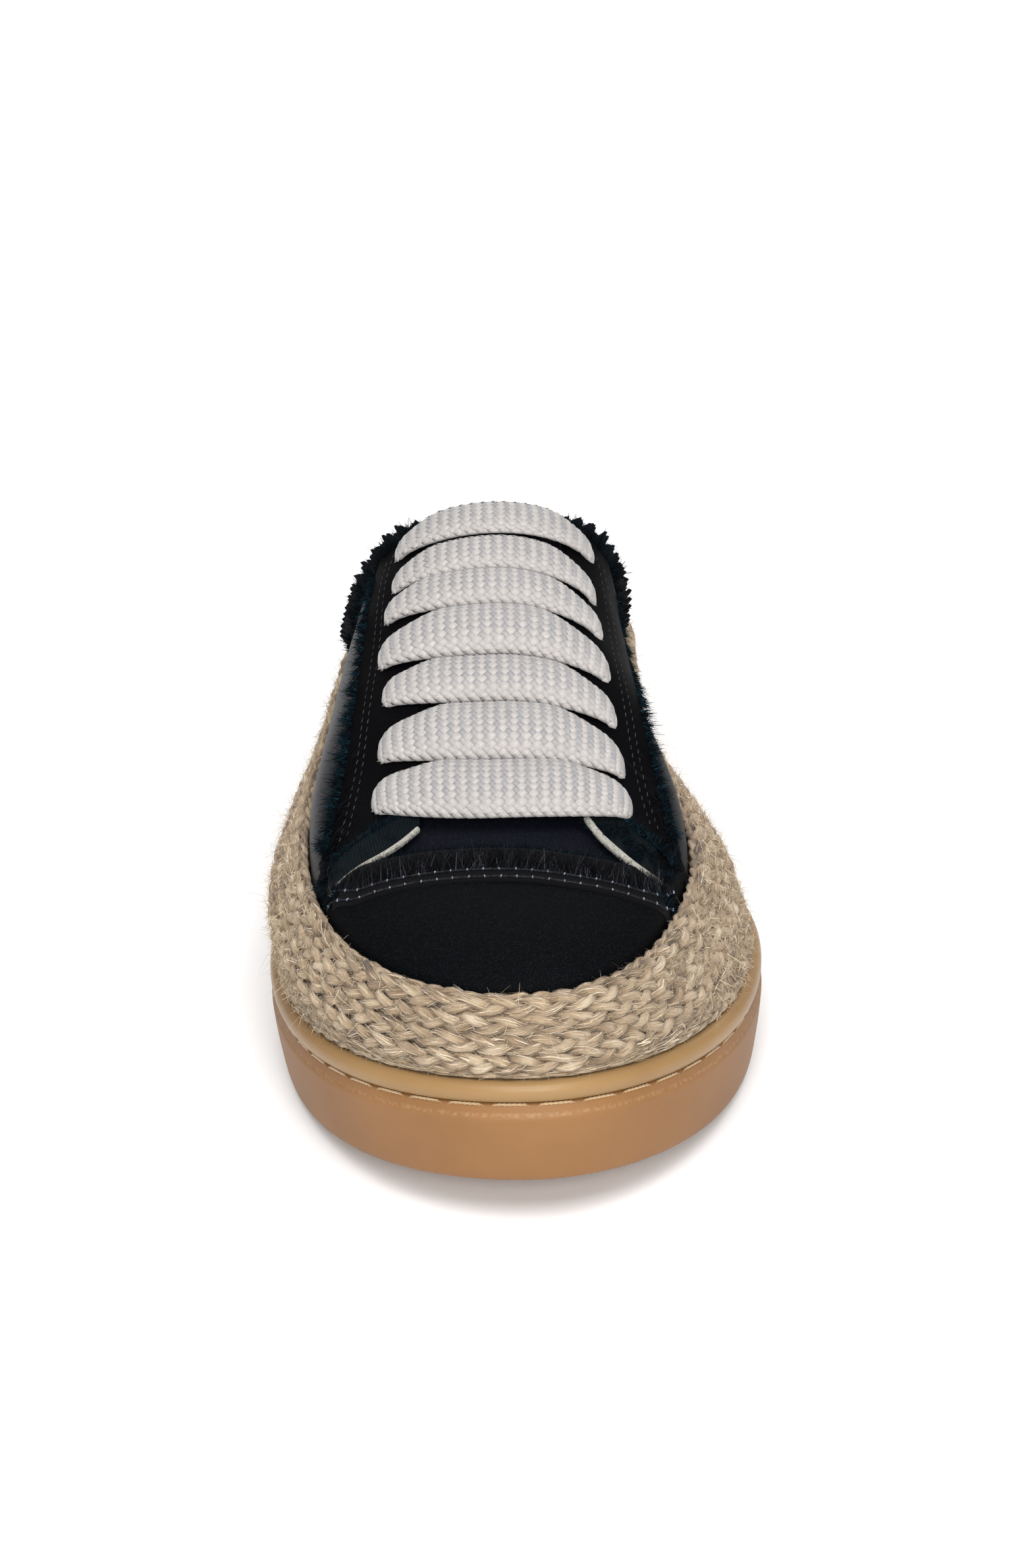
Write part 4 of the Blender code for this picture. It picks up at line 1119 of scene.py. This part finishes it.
def make_facings():
    """The two facings beside the throat, each with a woven layer and felt below its front edge."""
    n = Nodes("grey_felt", 0.95, Sheen_Weight=0.2)
    fibres = n.noise(n.where(), 2.4, 5.0, 0.75, 0.8)
    shades = [(0.30, (96, 94, 86)), (0.5, (158, 155, 145)), (0.75, (205, 202, 192))]
    n.set(n.shader, Base_Color=n.shades(fibres, shades))
    n.bump(fibres, 0.25, 1.0)
    rows, cols, line_points, felt_points, end_s = 150, 24, 70, 110, 152.0
    for side, name, felt, front in SIDES:
        v, t = np.linspace(0, 1, rows)[:, None], np.linspace(0, 1, cols)[None]
        inner = THROAT_X + side * (THROAT_HALF + 0.7)
        x_front = inner + (front[-1][0] - inner) * t
        s_front = edge_station(front, x_front)
        s = s_front + (end_s - s_front) * v
        reach = np.minimum(np.abs(stay_x(s, side) - THROAT_X) - 1.2, 60)
        x = inner + (THROAT_X + side * reach - inner) * t
        x = x + (x_front - x) * (1 - smooth((s - s_front) / 6.0))
        point, normal, _, _ = upper_frame(x, s)
        verts = point + normal * facing_lift(x, s, side)[..., None]
        faces = grid_faces(rows, cols, flip=side < 0)
        mid = verts.reshape(-1, 3)[faces].mean(1)
        faces = faces[mid[:, 1] < collar_station(mid[:, 2]) - 0.6]
        thicken(build(name + "_satin", verts, faces, [FACING], replaces=(name,), slot="black_satin"), 0.8)

        x = side * np.linspace(abs(felt[0][0]), abs(felt[-1][0]), line_points)
        s = edge_station(felt, x)
        w = np.linspace(0, 1, 16)[:, None]
        back = edge_station(front, x) + 1.5
        sheet(name + "_weave", x[None] + 0 * w, s[None] + (back - s)[None] * w, 0.05 + 0.50 * w, TEAL, 0.6,
              slot="frayed_cotton")

        point, normal, _, _ = upper_frame(x, s + 0.25)
        sunk = np.linspace(-0.35, -0.35 if side < 0 else 0.05, line_points)[:, None]
        path = spaced(point + normal * sunk + [side * 0.35, -0.45, 0.0], felt_points)[2][0]
        along, share = np.linspace(0, 1, felt_points), np.linspace(0, 1, line_points)
        normal = unit(np.stack([np.interp(along, share, normal[:, i]) for i in range(3)], 1))
        swell = 0.45 + 0.55 * arc(np.minimum(along, 1 - along) / 0.03, 2.0)
        swell = swell * (1.06 - 0.30 * along if side < 0 else 0.92 + 0.24 * along)
        tube = tubes(path, normal, 0.78 * swell, 0.80 * swell, 10)
        build(name + "_felt", *tube, [n.material], slot="grey_cotton")


# ------------------------------------------------------------------------- frayed edges
def surface_line(xs, ss, lift, count):
    """A line on the upper: its points, normals, tangents, the directions to its right, its length."""
    point, normal, _, _ = upper_frame(xs, ss)
    _, length, (point, normal) = spaced(point, count, normal)
    normal, tangent = unit(normal), unit(np.gradient(point, axis=0))
    right = unit(np.cross(tangent, normal))
    return point + normal * lift, normal, tangent, right, length


def fray(
    line, away, count, length, width, splay, rise, rows=(0.0, 0.0), tone=(0.0, 1.0), clump=0.0,
    segments=2, droop=0.0, reach=None,
):
    """Loose yarns along a line. away is +1 or -1: which side of the line they point to.

    Each pair is the least and the greatest length, width, rise off the face, distance of the
    root from the line and tone. clump is the width of a tuft, and reach shortens yarns along
    the line.
    """
    point, normal, tangent, right, total = line
    n = len(point)
    at = RNG.uniform(0, n - 1.001, count)
    i = at.astype(int)
    f = (at - i)[:, None]
    pos = point[i] * (1 - f) + point[i + 1] * f
    nrm, tan, out = normal[i], tangent[i], right[i] * away
    shift, size = np.zeros(count), np.ones(count)
    upward = RNG.uniform(*rise, count)
    if clump:
        tufts = max(3, int(total / clump))
        tuft = (at / n * tufts).astype(int)
        sway = RNG.normal(0, 0.45, tufts + 1)
        stand = RNG.uniform(*rise, tufts + 1)
        size = RNG.uniform(0.65, 1.15, tufts + 1)[tuft]
        centre = (tuft + 0.5) / tufts * n
        shift = sway[tuft] - (at - centre) / n * tufts * 0.35
        upward = stand[tuft] + RNG.normal(0, 0.12, count)
    if reach is not None:
        size, upward = size * reach[i], upward * reach[i]
    aim = unit(out + tan * (shift + RNG.normal(0, splay, count))[:, None] + nrm * upward[:, None])
    bend = RNG.normal(0, 0.28, (count, 3)) - np.array([0, 0, droop])
    root = pos + out * RNG.uniform(*rows, count)[:, None]
    long = RNG.uniform(*length, count) * size
    verts, faces = ribbons(root, aim, bend, long, RNG.uniform(*width, count), segments)
    tones = np.repeat(RNG.uniform(*tone, count) ** 1.6, (segments + 1) * 2)
    return verts, faces, tones


def hairs(name, parts, material):
    """Makes one piece from the (verts, faces, tones) parts that fray gives."""
    tones = [part[2] for part in parts]
    build_joined(name, [part[:2] for part in parts], [material], tones=tones, slot="frayed_cotton")


def flap_station(x):
    """Station where the flaps' felt edges lie over the toe fringe, far back inside the throat."""
    medial = np.where(x > 14.0, edge_station(FELT_MEDIAL, x), 70.0)
    return np.where(x < -17.0, edge_station(FELT_LATERAL, x), medial)


def make_toe_fringe():
    """The frayed strip behind the toe seam, and the seam's two threads with their stitches."""
    x = np.linspace(-34.5, 29.8, 130)
    seam = spline(SEAM, x)
    top = np.minimum(seam + 10.0, flap_station(x) - 0.9)
    ends = smooth(np.minimum(x - x[0], x[-1] - x) / 3.0)
    t = np.linspace(0, 1, 14)[:, None]
    sheet("toe_fringe_band", x[None] + 0 * t, (seam - 1.0)[None] + (top - seam + 1.0)[None] * t,
          (0.12 + 0.55 * np.sin(t * math.pi * 0.5)) * ends[None], FRINGE, 0.4,
          replaces=("toe_fringe",), slot="frayed_cotton")

    points = 500
    room = np.clip((flap_station(x) - seam - 4.0) / 4.4, 0.3, 1.0)
    room = np.interp(np.linspace(0, 1, points), np.linspace(0, 1, len(x)), room)
    stitch = surface_line(x, seam + 2.7, 0.6, points)
    threads = fray(stitch, -1, 5000, (2.9, 4.4), (0.09, 0.17), 0.10, (0.0, 0.14), rows=(0, 0.8),
                   segments=3, reach=room)
    hairs("toe_fringe_threads", [threads], THREADS)
    top = np.minimum(10.4, flap_station(x) - 2.4 - seam)
    fluff = [
        fray(surface_line(x, seam + top * share, 0.3, points), -1, 1300, (0.7, 1.7), (0.07, 0.15), 0.8,
             (0.0, 0.7), tone=(0.0, 0.9))
        for share in np.linspace(0.45, 1.0, 6)
    ]
    hairs("toe_fringe_fluff", fluff, FLUFF)

    yarn = cloudy_material("seam_thread", 0.7, 1.6, 2.0, (0.35, (14, 14, 17)), (0.7, (48, 48, 52)),
                           Specular_IOR_Level=0.15)
    dot = cloudy_material("seam_dots", 0.5, 2.0, 2.0, (0.35, (84, 98, 118)), (0.7, (140, 154, 172)),
                          Sheen_Weight=0.1)
    points, pitch, twist = 560, 2.9, 1.5
    bulge = 0.18 * np.array([0.6, 0.95, 1, 0.95, 0.6])
    parts, knots = [], []
    for row, off in enumerate((0.2, 2.7)):
        point, normal, tangent, right, total = surface_line(x, seam + off, 0.55, points)
        for ply in (0, math.pi):
            turn = np.linspace(0, total, points) / twist * TAU + ply
            path = point + right * (0.14 * np.cos(turn))[:, None]
            path = path + normal * (0.10 * np.sin(turn) + 0.05)[:, None]
            parts.append(tubes(path, normal, 0.11, 0.10, 4))
        count = int(total / pitch)
        at = ((np.arange(count) + 0.5 * row + 0.3) / count * (points - 1)).astype(int) % points
        for k, a in enumerate(at):
            across = unit(right[a] + tangent[a] * 0.3 * np.sin(k * 2.4))
            path = point[a] + normal[a] * 0.1 + across * np.linspace(-0.28, 0.28, 5)[:, None]
            knots.append(tubes(path, normal[a] + 0 * path, bulge, 0.17, 6))
    build_joined("toe_seam", parts, [yarn], slot="grey_cotton")
    build_joined("toe_seam_dots", knots, [dot], slot="grey_cotton")


def facing_dashes(side, s, inset):
    """One row of short stitches on a facing, at a distance from its outer edge."""
    points, steps, pitch, stitch = 1400, 6, 2.3, 1.35
    x = stay_x(s, side) - side * inset
    point, normal, _, right, total = surface_line(x, s, 0.0, points)
    raised = np.interp(np.linspace(s[0], s[-1], points), s, facing_lift(x, s, side)) + 0.02
    point = point + normal * raised[:, None]
    count = int(total / pitch)
    t = np.linspace(-1, 1, steps)
    drop = (0.12 * np.abs(t) ** 3)[:, None]
    dashes = []
    for k in range(count):
        first = int((k + 0.14 + 0.35 * (inset > 5)) / count * (points - 1))
        last = min(first + int(stitch / total * (points - 1)), points - 1)
        pick = np.linspace(first, last, steps).astype(int)
        path = point[pick] - normal[pick] * drop + right[pick] * (0.10 * t)[:, None]
        dashes.append(tubes(path, normal[pick], 0.11, 0.09, 4))
    return dashes


def make_stay_details():
    """Stitches on the facings, and the yarns that fray at each of their edges."""
    thread = cloudy_material("facing_thread", 0.8, 1.0, 3.0, (0.3, (34, 34, 37)), (0.7, (70, 70, 74)),
                             Specular_IOR_Level=0.1)
    dashes, threads, fluff = [], [], []
    for side, _, felt, front in SIDES:
        s = np.linspace(60.0, 139.0, 300)
        for inset in (4.0, 5.3):
            dashes += facing_dashes(side, s, inset)
        # along the outer edge, along the front edge, between felt and front edge, over the felt
        line = surface_line(stay_x(s, side) - side * 1.2, s, 0.9, 700)
        length = (1.0, 2.9) if side < 0 else (0.9, 2.3)
        fluff.append(fray(line, side, 4300, length, (0.12, 0.26), 0.6, (0.0, 1.0), (-1.0, 0.3),
                          (0.1, 1.0), clump=1.8))
        start, end = abs(front[0][0]), abs(front[-1][0])
        x = side * np.linspace(start - 2, end, 80)
        line = surface_line(x, edge_station(front, x), 0.85, 300)
        fluff.append(fray(line, -side, 2200, (0.8, 2.0), (0.08, 0.18), 0.7, (0.0, 0.7), (-0.8, 0.6),
                          (0.1, 1.0), clump=1.8))
        x = start + (end - start) * np.linspace(0.25, 1.0, 80)
        low, high = edge_station(felt, x), edge_station(front, x)
        line = surface_line(side * x, low + (high - low) * (0.45 + 0.3 * np.sin(x * 1.3)), 0.45, 300)
        fluff.append(fray(line, -side, 1300, (0.6, 1.5), (0.08, 0.16), 0.9, (0.0, 0.5), (-1.2, 1.2),
                          (0.0, 0.9), clump=1.6))
        x = side * np.linspace(abs(felt[0][0]), abs(felt[-1][0]), 80)
        line = surface_line(x, edge_station(felt, x), 0.3, 300)
        fluff.append(fray(line, side, 260, (0.4, 1.0), (0.06, 0.12), 0.8, (0.3, 0.9), (0.8, 1.6), (0.1, 0.9)))
        # loose warp at the foot of the facing, hanging towards the braid
        foot_s = np.linspace(72, 53, 60)
        edge = upper_edges(foot_s)[0 if side < 0 else 1]
        foot_x = np.linspace(stay_x(69.0, side) - side * 0.5, edge[-1] - side * 1.0, 60)
        foot_x = np.where(np.abs(foot_x) > np.abs(edge) - 0.8, edge - side * 0.8, foot_x)
        foot = surface_line(foot_x, foot_s, 0.7, 300)
        threads.append(fray(foot, side, 1400, (2.5, 5.0), (0.10, 0.2), 0.2, (-0.25, 0.25), (-0.8, 0.5),
                            (0.0, 0.95), segments=3, droop=0.3))
        side_s = np.linspace(84, 58, 60)
        line = surface_line(stay_x(side_s, side) - side * 0.4, side_s, 0.5, 300)
        threads.append(fray(line, side, 900, (3.0, 6.0), (0.10, 0.2), 0.2, (-0.2, 0.1), (-0.8, 0.8),
                            (0.0, 0.95), segments=3, droop=0.35))
        fluff.append(fray(foot, side, 900, (1.0, 2.2), (0.08, 0.16), 0.6, (0.0, 0.7), (-1.2, 0.5),
                          (0.0, 0.9), clump=2.2))
    build_joined("facing_stitches", dashes, [thread], slot="grey_cotton")
    hairs("facing_threads", threads, THREADS)
    hairs("facing_fluff", fluff, FLUFF)


def make_collar_fringe():
    """Tufts of frayed warp round the collar, flared at the sides and short behind the laces."""
    dark, fluff, points, columns = [], [], 700, 6
    for side in (-1, 1):
        z = np.linspace(94.0, 46.5, 160)
        s = collar_station(z)
        x = edge_x(s, z, side)
        at, total, (point, normal) = spaced(np.stack([x, s, z], -1), points, upper_frame(x, s)[1])
        normal, tangent = unit(normal), unit(np.gradient(point, axis=0))
        out = unit(np.cross(tangent, normal))
        out = out * np.sign(out[points // 2, 1] + 1e-6)
        flare = np.array([0.0, 0.0, 0.6]) * smooth((point[:, 2:] - 84) / 8)
        out = unit(out - flare + np.array([side * 0.5, 0.0, 0.0]) * smooth((92 - point[:, 2:]) / 6))
        line = (point, normal, tangent, out, total)
        reach = 0.35 + 0.65 * smooth((92.5 - point[:, 2]) / 5)
        jag = (1.0 + 0.26 * wander(at, 2.6, 5 + side) + 0.15 * wander(at, 0.9, 8 + side)) * reach
        w = np.linspace(-0.5, 1.0, columns)
        rise = out + normal * (0.75 * reach)[:, None]
        far = 2.3 * w[None] * np.where(w > 0, jag[:, None], 1.0)
        band = point[:, None] + rise[:, None] * far[..., None]
        uv = np.stack(np.broadcast_arrays(at[:, None], 3.0 * w[None]), -1)
        name = "collar_band_" + ("lateral" if side < 0 else "medial")
        piece = build(name, band, grid_faces(points, columns), [FRAYED], uv=uv, slot="frayed_cotton")
        thicken(piece, 0.8, offset=0.0)
        dark.append(fray(line, 1, 1300, (1.8, 3.2), (0.24, 0.46), 0.25, (0.2, 1.3), (-1.5, 0.2),
                         (0.0, 0.85), clump=2.0, segments=4, reach=reach))
        fluff.append(fray(line, 1, 5000, (1.5, 3.0), (0.16, 0.34), 0.5, (-0.1, 1.8), (-2.6, 1.2),
                          (0.0, 0.8), clump=1.8, segments=3, reach=reach))
    hairs("collar_threads", dark, THREADS)
    hairs("collar_fluff", fluff, FLUFF)


def make_insole():
    """The footbed, raised at its edges, with a cloth cover."""
    def inset_of(s):
        behind_upper = smooth((s - UPPER_END - 1.0) / 9.0)
        return rim_inset(s) + 4 * GAP + WALL + (GAP - 4 * GAP - WALL) * behind_upper
    s = stations(inset_of, (50, 40, 36))[1:-1]
    edge, moved = inset_of(s), lean(s)
    left, right = half_width(LATERAL, s, edge) + moved[0], half_width(MEDIAL, s, edge) + moved[1]
    t = np.linspace(-1, 1, 30)[None]
    x = (left + right)[:, None] / 2 + (right - left)[:, None] / 2 * np.sin(t * math.pi / 2)
    near = np.minimum(x - left[:, None], right[:, None] - x)
    ends = np.minimum(s - s[0], s[-1] - s)[:, None]
    rim = np.minimum(near, ends)
    z = floor_z(s)[:, None] + GAP + INSOLE_T - 1.1 * (1 - smooth(rim / 1.3)) + 0.0 * x
    z = z + 0.5 * (1 - smooth((rim - 1) / 9))
    verts = np.stack([x, s[:, None] + 0 * x, z], -1)
    uv = np.stack([x, s[:, None] + 0 * x], -1)
    n = Nodes("insole_cloth", 0.85, Specular_IOR_Level=0.15, Sheen_Weight=0.15)
    axes = n.add("ShaderNodeSeparateXYZ", Vector=n.where(uv=True)).outputs
    rib = n.math("ABSOLUTE", n.math("SINE", n.math("MULTIPLY", n.math("ADD", axes[0], axes[1]), 3.1)))
    cloud = n.noise(n.where(), 0.05, 3.0)
    value = n.weighted((rib, 0.5), (cloud, 0.5))
    n.set(n.shader, Base_Color=n.shades(value, [(0.2, (20, 20, 22)), (0.8, (44, 44, 47))]))
    n.bump(rib, 0.10, 0.8)
    piece = build(
        "insole_cover", verts, grid_faces(*x.shape), [n.material], uv=uv, replaces=("insole",), slot="lining",
    )
    thicken(piece, 3.0)


def make_camera():
    """The photo's camera: where it stands, how it is turned (radians) and its lens."""
    eye = Vector((6.2176, -377.1535 - LENGTH / 2, 238.3507)) * 0.001
    yaw, pitch, roll = -0.013645, 0.384645, -0.040160
    sensor, focal, frame_height = 36.0, 3760.69, 2380.0     # the last two in pixels
    look = Vector((math.sin(yaw) * math.cos(pitch), math.cos(yaw) * math.cos(pitch), -math.sin(pitch)))
    right = Vector((math.cos(yaw), -math.sin(yaw), 0.0))
    up = right.cross(look)
    r = right * math.cos(roll) + up * math.sin(roll)
    u = up * math.cos(roll) - right * math.sin(roll)
    data = bpy.data.cameras.new("camera")
    data.sensor_width, data.lens = sensor, focal * sensor / frame_height
    data.clip_start, data.clip_end = 0.01, 20.0
    camera = bpy.data.objects.new("camera", data)
    camera.matrix_world = Matrix([(*r, 0), (*u, 0), (*-look, 0), (*eye, 1)]).transposed()
    bpy.context.scene.collection.objects.link(camera)
    bpy.context.scene.camera = camera


def area_light(name, place, aim, size, power, spread=180.0):
    data = bpy.data.lights.new(name, "AREA")
    data.shape, data.size, data.size_y, data.energy = "RECTANGLE", size[0], size[1], power
    data.spread = math.radians(spread)
    light = bpy.data.objects.new(name, data)
    light.location = place
    light.rotation_euler = (Vector(aim) - Vector(place)).to_track_quat("-Z", "Y").to_euler()
    bpy.context.scene.collection.objects.link(light)


def make_studio():
    """White paper under the shoe, a white surround and four soft lights."""
    n = Nodes("floor_paper", 0.6, Specular_IOR_Level=0.2)
    greys = [(at, (grey, grey, grey)) for at, grey in ((0.0, 0.90), (1.0, 0.94))]
    n.set(n.shader, Base_Color=n.ramp(n.noise(n.where(), 0.01), greys))
    mesh = bpy.data.meshes.new("floor")
    mesh.from_pydata([(-6, -6, 0), (6, -6, 0), (6, 6, 0), (-6, 6, 0)], [], [(0, 1, 2, 3)])
    mesh.materials.append(n.material)
    floor = bpy.data.objects.new("floor", mesh)
    bpy.context.scene.collection.objects.link(floor)
    world = bpy.data.worlds.new("studio")
    world.use_nodes = True
    sky = world.node_tree.nodes["Background"]
    sky.inputs["Color"].default_value = (1.0, 1.0, 1.0, 1.0)
    sky.inputs["Strength"].default_value = 0.34
    bpy.context.scene.world = world
    bpy.context.scene.view_settings.view_transform = "Standard"
    area_light("key", (0.1, -1.35, 0.6), (0, -0.08, 0.02), (1.0, 0.6), 16.5)
    area_light("top", (0.05, -0.64, 1.15), (0, -0.12, 0.02), (1.0, 0.8), 14.5)
    area_light("fill", (0.0, 1.3, 1.0), (0, 0.05, 0.03), (1.4, 0.8), 6.0)
    area_light("sweep", (0.0, 2.7, 2.2), (0, 2.7, 0.0), (5.0, 2.8), 75.0, 75.0)


make_camera()
make_studio()
make_sole()
make_stitches()
make_jute()
make_jute_hairs()
make_lace()
make_upper()
make_tongue()
make_facings()
make_toe_fringe()
make_stay_details()
make_collar_fringe()
make_insole()
